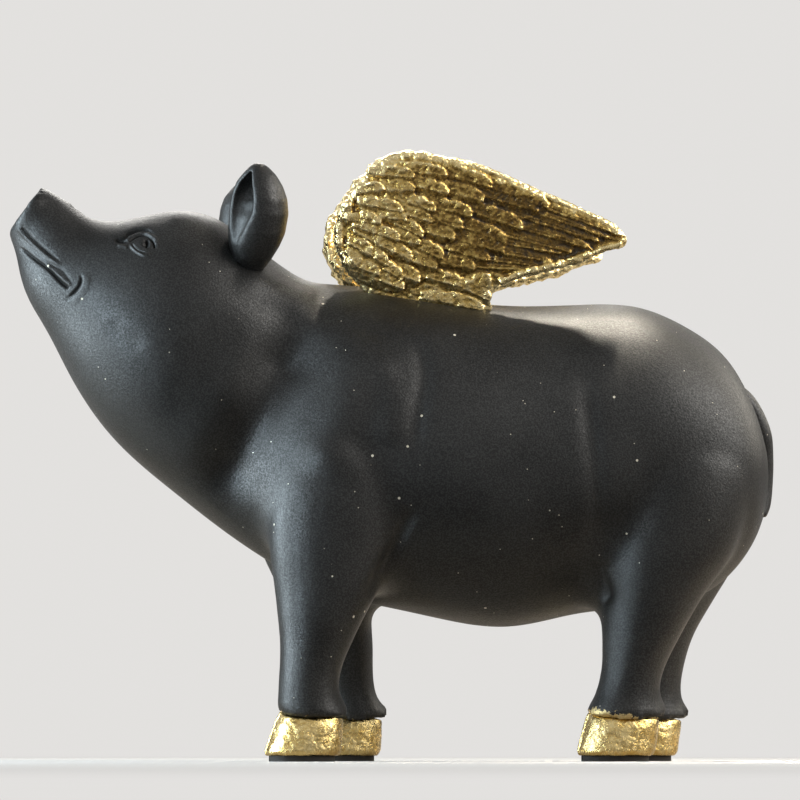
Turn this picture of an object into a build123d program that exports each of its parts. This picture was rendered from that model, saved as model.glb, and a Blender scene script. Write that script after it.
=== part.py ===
"""Winged pig figurine: a cast body with set-in ears, tail, feathered wings, cloven hooves and foot pads.

Frame: +Z up from the ground, the pig faces -X, its left side is -Y.
"""
import os
from dataclasses import dataclass

from build123d import *

os.makedirs("parts", exist_ok=True)

# Figure
FIGURE_LENGTH = 240.0
BACK_HEIGHT = 143.0
BODY_WIDTH = 82.0
GLUE_GAP = 0.1
CUT_OVERRUN = 12.0

# Legs and feet
ANKLE_DEPTH = 20.0
ANKLE_WIDTH = 19.0
FRONT_STAGGER = 18.3
HIND_STAGGER = 16.6
HOOF_HEIGHT = 15.0
HOOF_TILT = 12.0
HOOF_WIDTH = 22.0
FRONT_HOOF_DEPTH = 23.5
HIND_HOOF_DEPTH = 24.0
CLEFT_WIDTH = 3.4
HOOF_PEG_SIDE = 6.4
HOOF_PEG_LENGTH = 8.0
PAD_THICKNESS = 1.8
PAD_INSET = 1.1

# Ears
EAR_LENGTH = 25.0
EAR_WIDTH = 19.0
EAR_WALL = 2.6
EAR_LEAN = 14.0
EAR_TURN = 38.0
EAR_RAKE = 5.0
EAR_TENON_SIDE = 5.0
EAR_TENON_LENGTH = 9.0

# Tail
TAIL_RADIUS = 3.2
TAIL_SWAY = 3.0
TAIL_FACETS = 14
TAIL_PEG_ROW = 3
TAIL_PEG_SIDE = 3.2
TAIL_PEG_LENGTH = 8.0

# Wings
WING_LENGTH = 93.0
WING_HEIGHT = 48.5
WING_PLATE = 3.0
FEATHER_STEP = 0.75
FEATHER_ROLL = 5.0
WING_LEAN = 16.0
WING_YAW = 5.0
WING_ROOT_DEPTH = 7.0
PIN_RADIUS = 1.5
PIN_LENGTH = 16.0

# Middle of the whole figure, tail included, as a share of its length from snout to rump.
MIDDLE_SHARE = 0.0055

# Sections of trunk and head from rump to snout, as shares of length, height and half width:
# top x, top z, bottom x, bottom z, half width, level of the widest point, fullness of the curve.
RUMP_POLE_SHARE = (0.501, 0.635)
TRUNK_SHARES = [
    (0.490, 0.740, 0.490, 0.535, 0.37, 0.50, 0.55),
    (0.475, 0.797, 0.475, 0.466, 0.64, 0.50, 0.55),
    (0.441, 0.892, 0.441, 0.396, 0.86, 0.50, 0.56),
    (0.391, 0.955, 0.391, 0.352, 0.96, 0.50, 0.57),
    (0.326, 1.000, 0.326, 0.336, 1.00, 0.49, 0.58),
    (0.247, 1.005, 0.247, 0.328, 1.00, 0.47, 0.58),
    (0.155, 1.001, 0.155, 0.300, 1.00, 0.46, 0.58),
    (0.064, 1.015, 0.064, 0.314, 0.99, 0.46, 0.58),
    (-0.009, 1.033, -0.009, 0.338, 0.95, 0.46, 0.57),
    (-0.068, 1.042, -0.096, 0.376, 0.89, 0.46, 0.57),
    (-0.113, 1.044, -0.193, 0.470, 0.82, 0.46, 0.56),
    (-0.164, 1.088, -0.289, 0.592, 0.80, 0.46, 0.56),
    (-0.217, 1.171, -0.368, 0.711, 0.76, 0.47, 0.56),
    (-0.275, 1.202, -0.420, 0.838, 0.65, 0.48, 0.56),
    (-0.330, 1.187, -0.452, 0.940, 0.51, 0.49, 0.56),
    (-0.379, 1.172, -0.476, 1.018, 0.39, 0.50, 0.57),
    (-0.414, 1.197, -0.487, 1.097, 0.31, 0.52, 0.58),
    (-0.440, 1.231, -0.497, 1.135, 0.27, 0.52, 0.58),
    (-0.459, 1.251, -0.500, 1.157, 0.28, 0.50, 0.58),
]

# Ankles: place along the figure, distance apart against the body's width, and the height between
# ankle and back at which a leg that stands behind its twin has come level with it.
FRONT_ANKLE_PLACE_SHARE = -0.1167
HIND_ANKLE_PLACE_SHARE = 0.2879
LEG_SPREAD_SHARE = 0.646
FRONT_LEVEL_SHARE = 0.46
HIND_LEVEL_SHARE = 1.00

# Sections of a leg from shoulder or thigh to below the ankle: height between ankle and back,
# then shift back and half depth in ankle depths, shift inward and half width in ankle widths.
FRONT_LEG_SHARES = [
    (0.725, 0.52, 0.86, 0.32, 0.62),
    (0.655, 0.50, 1.02, 0.22, 0.76),
    (0.585, 0.47, 1.09, 0.15, 0.80),
    (0.515, 0.43, 1.08, 0.10, 0.78),
    (0.445, 0.37, 1.02, 0.07, 0.74),
    (0.375, 0.30, 0.93, 0.04, 0.69),
    (0.305, 0.25, 0.82, 0.02, 0.64),
    (0.235, 0.16, 0.68, 0.00, 0.59),
    (0.165, 0.07, 0.55, 0.00, 0.54),
    (0.095, -0.02, 0.47, 0.00, 0.51),
    (0.025, -0.02, 0.48, 0.00, 0.51),
    (-0.045, 0.02, 0.53, 0.00, 0.53),
]
HIND_LEG_SHARES = [
    (0.725, 0.78, 0.88, 0.32, 0.64),
    (0.655, 0.86, 1.10, 0.20, 0.82),
    (0.585, 0.90, 1.21, 0.12, 0.89),
    (0.515, 0.86, 1.17, 0.08, 0.88),
    (0.445, 0.80, 1.08, 0.05, 0.84),
    (0.375, 0.69, 0.99, 0.03, 0.78),
    (0.305, 0.54, 0.81, 0.01, 0.70),
    (0.235, 0.41, 0.65, 0.00, 0.62),
    (0.165, 0.27, 0.54, 0.00, 0.56),
    (0.095, 0.13, 0.47, 0.00, 0.52),
    (0.025, 0.04, 0.53, 0.00, 0.53),
    (-0.045, 0.01, 0.62, 0.00, 0.55),
]
LEG_FULLNESS_SHARE = 0.57

# Sections of a hoof from sole to top: height, size against the sole, size against the ankle joint.
HOOF_SHARES = [
    (0.00, 0.95, 0.00),
    (0.12, 1.00, 0.00),
    (0.80, 0.25, 0.76),
    (1.00, 0.00, 0.96),
]
HOOF_FULLNESS_SHARE = 0.70
HOOF_FORWARD_SHARE = 0.14
CLEFT_DEPTH_SHARE = 0.45
FRONT_ANKLE_SHARES = (0.49, 0.50)
HIND_ANKLE_SHARES = (0.55, 0.52)

# Sections of an ear from root to tip: height, radius, sweep of the leaf as a part of a turn.
EAR_PLACE_SHARE = (-0.186, 1.106)
EAR_SPREAD_SHARE = 0.451
EAR_SHARES = [
    (-0.15, 0.60, 0.80),
    (0.18, 0.76, 0.74),
    (0.46, 0.97, 0.62),
    (0.73, 0.94, 0.53),
    (0.91, 0.66, 0.47),
    (1.00, 0.36, 0.42),
]
EAR_ROOT_SHARES = [(-0.22, 0.55), (0.02, 0.62), (0.16, 0.66)]

# Centre line of the tail down the rump: place, side sway and radius.
TAIL_SHARES = [
    (0.450, 0.876, 0.0, 0.60),
    (0.473, 0.793, 0.0, 0.95),
    (0.492, 0.729, 0.2, 1.00),
    (0.499, 0.671, 0.7, 0.92),
    (0.500, 0.615, 1.0, 0.80),
    (0.496, 0.566, 0.6, 0.66),
    (0.490, 0.531, -0.3, 0.50),
]

# Wing outline as shares of its length and height, from the front of the root up and over to the tip.
WING_PLACE_SHARE = (-0.0767, 1.002)
WING_SPREAD_SHARE = 0.244
WING_FRONT_SHARES = [(0.06, 0.10), (0.01, 0.30), (0.01, 0.50), (0.05, 0.71), (0.15, 0.92), (0.30, 1.00)]
WING_TOP_SHARES = [(0.30, 1.00), (0.42, 0.95), (0.64, 0.79), (0.83, 0.62), (0.97, 0.44)]
WING_TIP_SHARES = [(0.97, 0.44), (0.99, 0.40), (0.96, 0.36)]
WING_REAR_SHARES = [(0.96, 0.36), (0.82, 0.27), (0.66, 0.20), (0.54, 0.16)]
WING_ROOT_SHARES = [(0.50, 0.00), (0.06, 0.10)]
PIN_PLACE_SHARES = [(0.17, 0.075), (0.40, 0.022)]

# Rows of feathers on a face of the wing: count, layer, width, then first and last base, first and last tip.
FEATHER_ROW_SHARES = [
    (6, 1, 0.17, (0.36, 0.86), (0.40, 0.22), (1.00, 0.42), (0.58, 0.14)),
    (6, 2, 0.19, (0.25, 0.88), (0.28, 0.13), (0.63, 0.76), (0.53, 0.06)),
    (6, 3, 0.19, (0.13, 0.84), (0.16, 0.14), (0.44, 0.86), (0.37, 0.09)),
    (5, 4, 0.20, (0.07, 0.66), (0.08, 0.20), (0.27, 0.86), (0.22, 0.13)),
]

# Feather outline in half widths: back from the tip and to the side, then the half width of its base.
FEATHER_TIP_SHARES = [(1.10, -1.00), (0.30, -0.62), (0.00, 0.00), (0.30, 0.62), (1.10, 1.00)]
FEATHER_BASE_SHARE = 0.70

SIDES = {"left": -1, "right": 1}


def figure_point(x_share, z_share, y=0.0):
    """Point of the figure at shares of its length and back height."""
    return Vector((x_share - MIDDLE_SHARE) * FIGURE_LENGTH, y, z_share * BACK_HEIGHT)


def oval(plane, half_width, upper, lower, fullness):
    """Filled oval on a plane, widest at the level of its origin, as a section for a loft."""
    corners = [(half_width, upper), (-half_width, upper), (-half_width, -lower), (half_width, -lower)]
    with BuildSketch(plane) as section:
        with BuildLine():
            for index, (side, rise) in enumerate(corners):
                curve = [(side, 0), (side, rise * fullness), (side * fullness, rise), (0, rise)]
                if index % 2:
                    curve.reverse()
                Bezier(*curve)
        make_face()
    return section.sketch


@dataclass(frozen=True)
class Leg:
    """One leg with its joint plane's middle, the table it is lofted from and its hoof's size."""

    name: str
    side: int
    ankle: Vector
    setback: float
    level_share: float
    sections: list
    ankle_shares: tuple
    hoof_depth: float


def legs():
    """The four legs, with the right ones set back by the stagger."""
    ends = [
        (
            "front",
            FRONT_ANKLE_PLACE_SHARE,
            FRONT_STAGGER,
            FRONT_LEVEL_SHARE,
            FRONT_LEG_SHARES,
            FRONT_ANKLE_SHARES,
            FRONT_HOOF_DEPTH,
        ),
        (
            "hind",
            HIND_ANKLE_PLACE_SHARE,
            HIND_STAGGER,
            HIND_LEVEL_SHARE,
            HIND_LEG_SHARES,
            HIND_ANKLE_SHARES,
            HIND_HOOF_DEPTH,
        ),
    ]
    for end, place_share, stagger, level_share, table, ankle_shares, hoof_depth in ends:
        for hand, side in SIDES.items():
            setback = stagger if side > 0 else 0
            ground = figure_point(place_share, 0, side * LEG_SPREAD_SHARE * BODY_WIDTH / 2)
            ankle = ground + Vector(setback, 0, HOOF_HEIGHT)
            yield Leg(f"{end}_{hand}", side, ankle, setback, level_share, table, ankle_shares, hoof_depth)


def level_plane(origin, tilt=0.0):
    """Plane with x across the body and y towards the snout, raised at the front by a tilt."""
    return Plane(origin=origin, x_dir=(0, 1, 0), z_dir=(0, 0, 1)).rotated((tilt, 0, 0))


def joint_plane(leg):
    """Sloping joint between a leg and its hoof, lower at the heel."""
    return level_plane(leg.ankle, HOOF_TILT)


def leg_ovals(leg):
    """Ovals of one leg from inside the trunk to below its joint plane."""
    ovals = []
    for height_share, back_share, depth_share, inward_share, width_share in leg.sections:
        rise = min(max(height_share / leg.level_share, 0), 1)
        catch_up = leg.setback * rise**2 * (3 - 2 * rise)
        place = leg.ankle + Vector(
            back_share * ANKLE_DEPTH - catch_up,
            -leg.side * inward_share * ANKLE_WIDTH,
            height_share * (BACK_HEIGHT - HOOF_HEIGHT),
        )
        half_depth = depth_share * ANKLE_DEPTH
        half_width = width_share * ANKLE_WIDTH
        ovals.append(oval(level_plane(place), half_width, half_depth, half_depth, LEG_FULLNESS_SHARE))
    return ovals


def ear_plane(height=0.0):
    """Plane across the left ear at a height above its root, with x the way that the cup opens."""
    axis = Vector(0, 0, 1).rotate(Axis.X, EAR_LEAN).rotate(Axis.Y, EAR_RAKE)
    opening = Vector(-1, 0, 0).rotate(Axis.Z, EAR_TURN)
    root = figure_point(*EAR_PLACE_SHARE, -EAR_SPREAD_SHARE * BODY_WIDTH / 2)
    return Plane(origin=root + axis * height, x_dir=opening, z_dir=axis)


def tail_planes():
    """Planes across the tail with their radii, from its root on the rump to its end."""
    centres = [figure_point(x, z, sway * TAIL_SWAY) for x, z, sway, _ in TAIL_SHARES]
    for index, centre in enumerate(centres):
        before = centres[max(index - 1, 0)]
        after = centres[min(index + 1, len(centres) - 1)]
        radius = TAIL_SHARES[index][-1] * TAIL_RADIUS
        yield Plane(origin=centre, x_dir=(0, 1, 0), z_dir=after - before), radius


def tail_peg_plane():
    """Plane at the thick end of the tail that looks into the rump."""
    root = list(tail_planes())[TAIL_PEG_ROW][0]
    return Plane(origin=root.origin, z_dir=Vector(0, 1, 0).cross(root.z_dir))


def wing_plane():
    """Middle plane of the left wing, with x towards its tip, y up and z outward."""
    along = Vector(1, 0, 0).rotate(Axis.Z, -WING_YAW)
    outward = Vector(0, -1, 0).rotate(Axis.X, WING_LEAN).rotate(Axis.Z, -WING_YAW)
    root = figure_point(*WING_PLACE_SHARE, -WING_SPREAD_SHARE * BODY_WIDTH / 2)
    return Plane(origin=root, x_dir=along, z_dir=outward)


def wing_point(u_share, v_share, sink=0.0):
    """Point of the wing in its own plane."""
    return Vector(u_share * WING_LENGTH, v_share * WING_HEIGHT - sink)


def pin_planes(length):
    """Planes at the lower ends of the left wing's pins, which look up along the wing."""
    wing = wing_plane()
    for place in PIN_PLACE_SHARES:
        seat = wing.from_local_coords(wing_point(*place))
        yield Plane(origin=seat - wing.y_dir * length / 2, z_dir=wing.y_dir)


def feather_planes(count, base_first, base_last, tip_first, tip_last, face):
    """Planes of one row of feathers with their lengths, fanned between a first and a last one."""
    wing = wing_plane()
    for index in range(count):
        along_row = index / (count - 1)
        base = wing_point(*base_first) * (1 - along_row) + wing_point(*base_last) * along_row
        tip = wing_point(*tip_first) * (1 - along_row) + wing_point(*tip_last) * along_row
        middle = wing.from_local_coords((base + tip) / 2)
        quill = wing.from_local_coords(tip) - wing.from_local_coords(base)
        flat = Plane(origin=middle, x_dir=quill, z_dir=wing.z_dir * face)
        yield flat.rotated((face * FEATHER_ROLL, 0, 0)), quill.length


# Blank of the body: trunk and head in one loft, with four legs cut off at their joint planes.
with BuildPart() as blank:
    sections = [Vertex(*figure_point(*RUMP_POLE_SHARE))]
    for top_x, top_z, low_x, low_z, width_share, level_share, fullness_share in TRUNK_SHARES:
        crown = figure_point(top_x, top_z)
        base = figure_point(low_x, low_z)
        rise = crown - base
        plane = Plane(
            origin=base + rise * level_share,
            x_dir=(0, -1, 0),
            z_dir=Vector(0, -1, 0).cross(rise),
        )
        upper = rise.length * (1 - level_share)
        lower = rise.length * level_share
        sections.append(oval(plane, width_share * BODY_WIDTH / 2, upper, lower, fullness_share))
    loft(sections)
    for leg in legs():
        loft(leg_ovals(leg))
        with BuildSketch(joint_plane(leg)):
            Rectangle(2 * ANKLE_WIDTH, 3 * ANKLE_DEPTH)
        extrude(amount=-CUT_OVERRUN, mode=Mode.SUBTRACT)

# Sockets of the left ear and wing, which are mirrored for the right ones.
with BuildPart() as left_sockets:
    with BuildSketch(ear_plane()):
        Rectangle(EAR_TENON_SIDE + 2 * GLUE_GAP, EAR_TENON_SIDE + 2 * GLUE_GAP)
    extrude(amount=EAR_TENON_LENGTH + GLUE_GAP, both=True)
    for plane in pin_planes(PIN_LENGTH + 2 * GLUE_GAP):
        with BuildSketch(plane):
            Circle(PIN_RADIUS + GLUE_GAP)
        extrude(amount=PIN_LENGTH)

# Body: the blank with the sockets that take the set-in pieces.
with BuildPart() as body:
    add(blank.part)
    for leg in legs():
        with BuildSketch(joint_plane(leg)):
            Rectangle(HOOF_PEG_SIDE + 2 * GLUE_GAP, HOOF_PEG_SIDE + 2 * GLUE_GAP)
        extrude(amount=HOOF_PEG_LENGTH + GLUE_GAP, mode=Mode.SUBTRACT)
    with BuildSketch(tail_peg_plane()):
        Rectangle(TAIL_PEG_SIDE + 2 * GLUE_GAP, TAIL_PEG_SIDE + 2 * GLUE_GAP)
    extrude(amount=TAIL_PEG_LENGTH + GLUE_GAP, mode=Mode.SUBTRACT)
    add(left_sockets.part, mode=Mode.SUBTRACT)
    mirror(left_sockets.part, about=Plane.XZ, mode=Mode.SUBTRACT)
body.part.label = "body_casting"
export_step(body.part, "parts/body_casting.step")

# Hooves and the pads under them.
for leg in legs():
    sole = Vector(leg.ankle.X - HOOF_FORWARD_SHARE * ANKLE_DEPTH, leg.ankle.Y, PAD_THICKNESS)
    cleft_end = sole.X + (CLEFT_DEPTH_SHARE - 0.5) * leg.hoof_depth
    cleft_front = sole.X - leg.hoof_depth
    cleft = [(cleft_end, sole.Y), (cleft_front, sole.Y - CLEFT_WIDTH), (cleft_front, sole.Y + CLEFT_WIDTH)]
    with BuildPart() as hoof:
        sections = []
        for height_share, sole_share, ankle_share in HOOF_SHARES:
            place = sole + (leg.ankle - sole) * height_share
            half_depth = sole_share * leg.hoof_depth / 2 + ankle_share * leg.ankle_shares[0] * ANKLE_DEPTH
            half_width = sole_share * HOOF_WIDTH / 2 + ankle_share * leg.ankle_shares[1] * ANKLE_WIDTH
            plane = level_plane(place, height_share * HOOF_TILT)
            sections.append(oval(plane, half_width, half_depth, half_depth, HOOF_FULLNESS_SHARE))
        loft(sections, ruled=True)
        with BuildSketch():
            Polygon(*cleft, align=None)
        extrude(amount=2 * HOOF_HEIGHT, mode=Mode.SUBTRACT)
        with BuildSketch(joint_plane(leg)):
            Rectangle(HOOF_PEG_SIDE, HOOF_PEG_SIDE)
        extrude(amount=HOOF_PEG_LENGTH)
    hoof.part.label = f"{leg.name}_hoof"
    export_step(hoof.part, f"parts/{leg.name}_hoof.step")

    with BuildPart() as pad:
        half_depth = HOOF_SHARES[0][1] * leg.hoof_depth / 2 - PAD_INSET
        half_width = HOOF_SHARES[0][1] * HOOF_WIDTH / 2 - PAD_INSET
        ground = level_plane(Vector(sole.X, sole.Y, 0))
        add(oval(ground, half_width, half_depth, half_depth, HOOF_FULLNESS_SHARE))
        extrude(amount=PAD_THICKNESS)
        with BuildSketch():
            Polygon(*cleft, align=None)
        extrude(amount=PAD_THICKNESS, mode=Mode.SUBTRACT)
    pad.part.label = f"{leg.name}_pad"
    export_step(pad.part, f"parts/{leg.name}_pad.step")

# Ears: a curled leaf on a round root, seated on the head, with a tenon into it.
with BuildPart() as left_ear:
    for height_share, radius_share, turn_share in EAR_SHARES:
        radius = radius_share * EAR_WIDTH / 2 - EAR_WALL / 2
        leaf_turn = turn_share * 360
        leaf_line = Edge.make_circle(
            radius,
            start_angle=180 - leaf_turn / 2,
            end_angle=180 + leaf_turn / 2,
        )
        with BuildSketch(ear_plane(height_share * EAR_LENGTH)):
            SlotArc(leaf_line, EAR_WALL)
    loft(ruled=True)
    for height_share, radius_share in EAR_ROOT_SHARES:
        with BuildSketch(ear_plane(height_share * EAR_LENGTH)):
            Circle(radius_share * EAR_WIDTH / 2)
    loft(ruled=True)
    add(blank.part, mode=Mode.SUBTRACT)
    with BuildSketch(ear_plane()):
        Rectangle(EAR_TENON_SIDE, EAR_TENON_SIDE)
    extrude(amount=-EAR_TENON_LENGTH)
left_ear.part.label = "left_ear"
export_step(left_ear.part, "parts/left_ear.step")

with BuildPart() as right_ear:
    mirror(left_ear.part, about=Plane.XZ)
right_ear.part.label = "right_ear"
export_step(right_ear.part, "parts/right_ear.step")

# Tail: a tapered strip let down the rump, with a peg into it.
with BuildPart() as tail:
    for plane, radius in tail_planes():
        with BuildSketch(plane):
            RegularPolygon(radius, TAIL_FACETS)
    loft(ruled=True)
    add(blank.part, mode=Mode.SUBTRACT)
    with BuildSketch(tail_peg_plane()):
        Rectangle(TAIL_PEG_SIDE, TAIL_PEG_SIDE)
    extrude(amount=TAIL_PEG_LENGTH)
tail.part.label = "tail"
export_step(tail.part, "parts/tail.step")

# Wings: a plate with rows of feathers on both faces, seated on the back.
with BuildPart() as left_wing:
    with BuildSketch(wing_plane()):
        with BuildLine():
            Spline(*[wing_point(*share) for share in WING_FRONT_SHARES])
            Spline(*[wing_point(*share) for share in WING_TOP_SHARES])
            ThreePointArc(*[wing_point(*share) for share in WING_TIP_SHARES])
            Spline(*[wing_point(*share) for share in WING_REAR_SHARES])
            root_rear, root_front = WING_ROOT_SHARES
            Polyline(
                wing_point(*WING_REAR_SHARES[-1]),
                wing_point(*root_rear),
                wing_point(*root_rear, WING_ROOT_DEPTH),
                wing_point(*root_front, WING_ROOT_DEPTH),
                wing_point(*root_front),
            )
        make_face()
    extrude(amount=WING_PLATE / 2, both=True)
    for count, layer, width_share, *row in FEATHER_ROW_SHARES:
        for face in (1, -1):
            for plane, length in feather_planes(count, *row, face):
                half_width = width_share * WING_HEIGHT / 2
                tip = [(length / 2 - back * half_width, side * half_width) for back, side in FEATHER_TIP_SHARES]
                quill_end = FEATHER_BASE_SHARE * half_width
                with BuildSketch(plane):
                    Polygon(*tip, (-length / 2, quill_end), (-length / 2, -quill_end), align=None)
                extrude(amount=WING_PLATE / 2 + layer * FEATHER_STEP)
    add(blank.part, mode=Mode.SUBTRACT)
    for plane in pin_planes(PIN_LENGTH):
        with BuildSketch(plane):
            Circle(PIN_RADIUS + GLUE_GAP)
        extrude(amount=PIN_LENGTH + GLUE_GAP, mode=Mode.SUBTRACT)
left_wing.part.label = "left_wing"
export_step(left_wing.part, "parts/left_wing.step")

with BuildPart() as right_wing:
    mirror(left_wing.part, about=Plane.XZ)
right_wing.part.label = "right_wing"
export_step(right_wing.part, "parts/right_wing.step")

# Pins: two plain dowels a wing, half in the wing and half in the back.
with BuildPart() as left_pins:
    for plane in pin_planes(PIN_LENGTH):
        with BuildSketch(plane):
            Circle(PIN_RADIUS)
        extrude(amount=PIN_LENGTH)
left_pins.part.label = "left_wing_pins"
export_step(left_pins.part, "parts/left_wing_pins.step")

with BuildPart() as right_pins:
    mirror(left_pins.part, about=Plane.XZ)
right_pins.part.label = "right_wing_pins"
export_step(right_pins.part, "parts/right_wing_pins.step")
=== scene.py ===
"""Dresses the winged pig figurine: painted casting, gilded wings and hooves, stage, light and camera.

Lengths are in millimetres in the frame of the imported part: +Z up, the pig faces -X, its left side is -Y.
They become metres where a mesh, a lamp or the camera is made.
"""

import logging
import math
from dataclasses import dataclass
from enum import Enum
from typing import Callable

import bmesh
import bpy
import numpy as np
import openvdb
from mathutils import Matrix, Vector, noise


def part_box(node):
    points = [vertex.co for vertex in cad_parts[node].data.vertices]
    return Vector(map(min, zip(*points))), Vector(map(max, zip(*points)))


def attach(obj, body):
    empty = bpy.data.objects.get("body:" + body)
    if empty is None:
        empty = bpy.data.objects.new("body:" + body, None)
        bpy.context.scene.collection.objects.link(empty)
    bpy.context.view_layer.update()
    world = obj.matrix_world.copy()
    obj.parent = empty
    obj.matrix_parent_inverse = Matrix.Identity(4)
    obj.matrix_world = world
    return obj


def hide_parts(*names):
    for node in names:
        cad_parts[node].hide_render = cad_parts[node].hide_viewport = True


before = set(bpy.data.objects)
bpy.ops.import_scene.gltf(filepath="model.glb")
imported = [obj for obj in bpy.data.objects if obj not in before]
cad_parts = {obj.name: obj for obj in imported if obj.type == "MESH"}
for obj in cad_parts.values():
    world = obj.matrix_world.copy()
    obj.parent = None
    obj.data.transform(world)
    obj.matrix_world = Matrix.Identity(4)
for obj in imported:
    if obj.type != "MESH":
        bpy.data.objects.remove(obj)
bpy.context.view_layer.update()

LOG = logging.getLogger("pig_figurine")
BODY = "root"
METRES = 0.001
# Range that most of a noise pattern falls in.
NOISE_REACH = (0.3, 0.7)
# Direction that no tube runs in, from which its sections are turned.
OFF_AXIS = (0.31, 0.95, 0.05)
# Height above the leaf that painted pieces far from it keep.
CLEAR_OF_LEAF = 40.0

Pixel = tuple[float, float]
Path = tuple[Pixel, ...]


class Side(Enum):
    """Hand of the figure, valued by the sign of its Y."""

    LEFT = -1
    RIGHT = 1

    @property
    def label(self) -> str:
        """Word used in piece names."""
        return self.name.lower()


class Plume(Enum):
    """Kinds of feather on a wing."""

    FLIGHT = "long, straight feather with fine ridges along it"
    COVERT = "middle feather with slanting barbs"
    SCALE = "short, round feather with slanting barbs"


class Leg(Enum):
    """The four feet, valued by the name that their nodes start with."""

    FRONT_LEFT = "front_left"
    FRONT_RIGHT = "front_right"
    HIND_LEFT = "hind_left"
    HIND_RIGHT = "hind_right"


def unit(vector: np.ndarray) -> np.ndarray:
    """Vector of length one in the same direction."""
    return vector / np.linalg.norm(vector)


def smooth_path(path: Path, steps: int) -> np.ndarray:
    """Runs a smooth curve through given points.

    Args:
        path: points that the curve passes.
        steps: places on the curve between two points.

    Returns:
        Points along the curve, one row each.
    """
    knots = np.array((path[0], *path, path[-1]), float)
    turns = np.linspace(0.0, 1.0, steps, endpoint=False)[:, None]
    runs = []
    for before, start, end, after in zip(knots, knots[1:], knots[2:], knots[3:]):
        bend = 2 * before - 5 * start + 4 * end - after
        twist = 3 * start - before - 3 * end + after
        runs.append(start + 0.5 * turns * (end - before + turns * (bend + turns * twist)))
    return np.concatenate((*runs, knots[-1:]))


def ring_faces(rings: int, count: int, start: int = 0) -> list[tuple[int, ...]]:
    """Corners of the faces that join rings of points, each ring to the next."""
    lows = range(start, start + (rings - 1) * count, count)
    steps = [(low, step, (step + 1) % count) for low in lows for step in range(count)]
    return [(low + one, low + two, low + count + two, low + count + one) for low, one, two in steps]


def bar_faces(rings: int, count: int) -> list[tuple[int, ...]]:
    """Corners of the faces that join rings of points to a bar, closed at both ends."""
    last = (rings - 1) * count
    return [*ring_faces(rings, count), tuple(reversed(range(count))), tuple(range(last, last + count))]


def read(items: bpy.types.bpy_prop_collection, key: str, kind: type, width: int) -> np.ndarray:
    """Value of every item of a mesh, one row each."""
    items.foreach_get(key, values := np.empty(len(items) * width, kind))
    return values.reshape(-1, width)


def opaque(colour: object) -> object:
    """Colour with full cover, or the socket that gives one."""
    return (*colour, 1.0) if isinstance(colour, tuple) else colour


def show(name: str, data: bpy.types.ID) -> bpy.types.Object:
    """Puts a new object into the scene.

    Args:
        name: the object's name.
        data: its mesh, lamp or camera.

    Returns:
        The object.
    """
    shown = bpy.data.objects.new(name, data)
    bpy.context.scene.collection.objects.link(shown)
    return shown


@dataclass(frozen=True)
class PhotoCamera:
    """Camera at the photograph's place, which also turns its pixels into rays."""

    azimuth: float = -7.0
    eye_height: float = 4.0
    distance: float = 1500.0
    aim_x: float = 1.38
    aim_height: float = 113.2
    focal: float = 215.4
    sensor: float = 36.0
    pixels: int = 800

    @property
    def eye(self) -> np.ndarray:
        """Place of the lens."""
        turn = math.radians(self.azimuth)
        ahead = (self.aim_x + math.sin(turn) * self.distance, -math.cos(turn) * self.distance)
        return np.array((*ahead, self.eye_height))

    @property
    def zoom(self) -> float:
        """Focal length in pixels."""
        return self.focal / self.sensor * self.pixels

    def axes(self) -> tuple[np.ndarray, np.ndarray, np.ndarray]:
        """Directions of the picture.

        Returns:
            Unit vectors to the right, up and into the picture.
        """
        ahead = unit(np.array((self.aim_x, 0.0, self.aim_height)) - self.eye)
        right = unit(np.cross(ahead, (0.0, 0.0, 1.0)))
        return right, np.cross(right, ahead), ahead

    def project(self, points: np.ndarray) -> np.ndarray:
        """Finds where points fall in the photograph.

        Args:
            points: places on the figure, one row each.

        Returns:
            Pixels, one row each.
        """
        right, up, ahead = self.axes()
        seen = points - self.eye
        scale = self.zoom / (seen @ ahead)
        centre = self.pixels / 2
        return np.stack((centre + seen @ right * scale, centre - seen @ up * scale), axis=1)

    def on_plane(self, pixel: Pixel, origin: np.ndarray, normal: np.ndarray) -> np.ndarray:
        """Point where the ray of a pixel meets a plane.

        Args:
            pixel: place in the photograph.
            origin: any point of the plane.
            normal: direction square to the plane.

        Returns:
            The point.
        """
        right, up, ahead = self.axes()
        centre = self.pixels / 2
        ray = ahead * self.zoom + right * (pixel[0] - centre) - up * (pixel[1] - centre)
        return self.eye + ray * ((origin - self.eye) @ normal) / (ray @ normal)

    def at_depth(self, pixel: Pixel, depth: float) -> np.ndarray:
        """Point behind a pixel at a distance from the middle plane, to the left where negative."""
        return self.on_plane(pixel, np.array((0.0, depth, 0.0)), np.array((0.0, 1.0, 0.0)))

    def build(self) -> bpy.types.Object:
        """Makes the camera and sets it as the scene's.

        Returns:
            The camera object.
        """
        data = bpy.data.cameras.new("photo_camera")
        data.lens = self.focal
        data.sensor_width = self.sensor
        camera = show("photo_camera", data)
        right, up, ahead = self.axes()
        turn = Matrix((right, up, -ahead)).transposed()
        camera.matrix_world = Matrix.Translation(Vector(self.eye * METRES)) @ turn.to_4x4()
        bpy.context.scene.camera = camera
        return camera


CAMERA = PhotoCamera()


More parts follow.
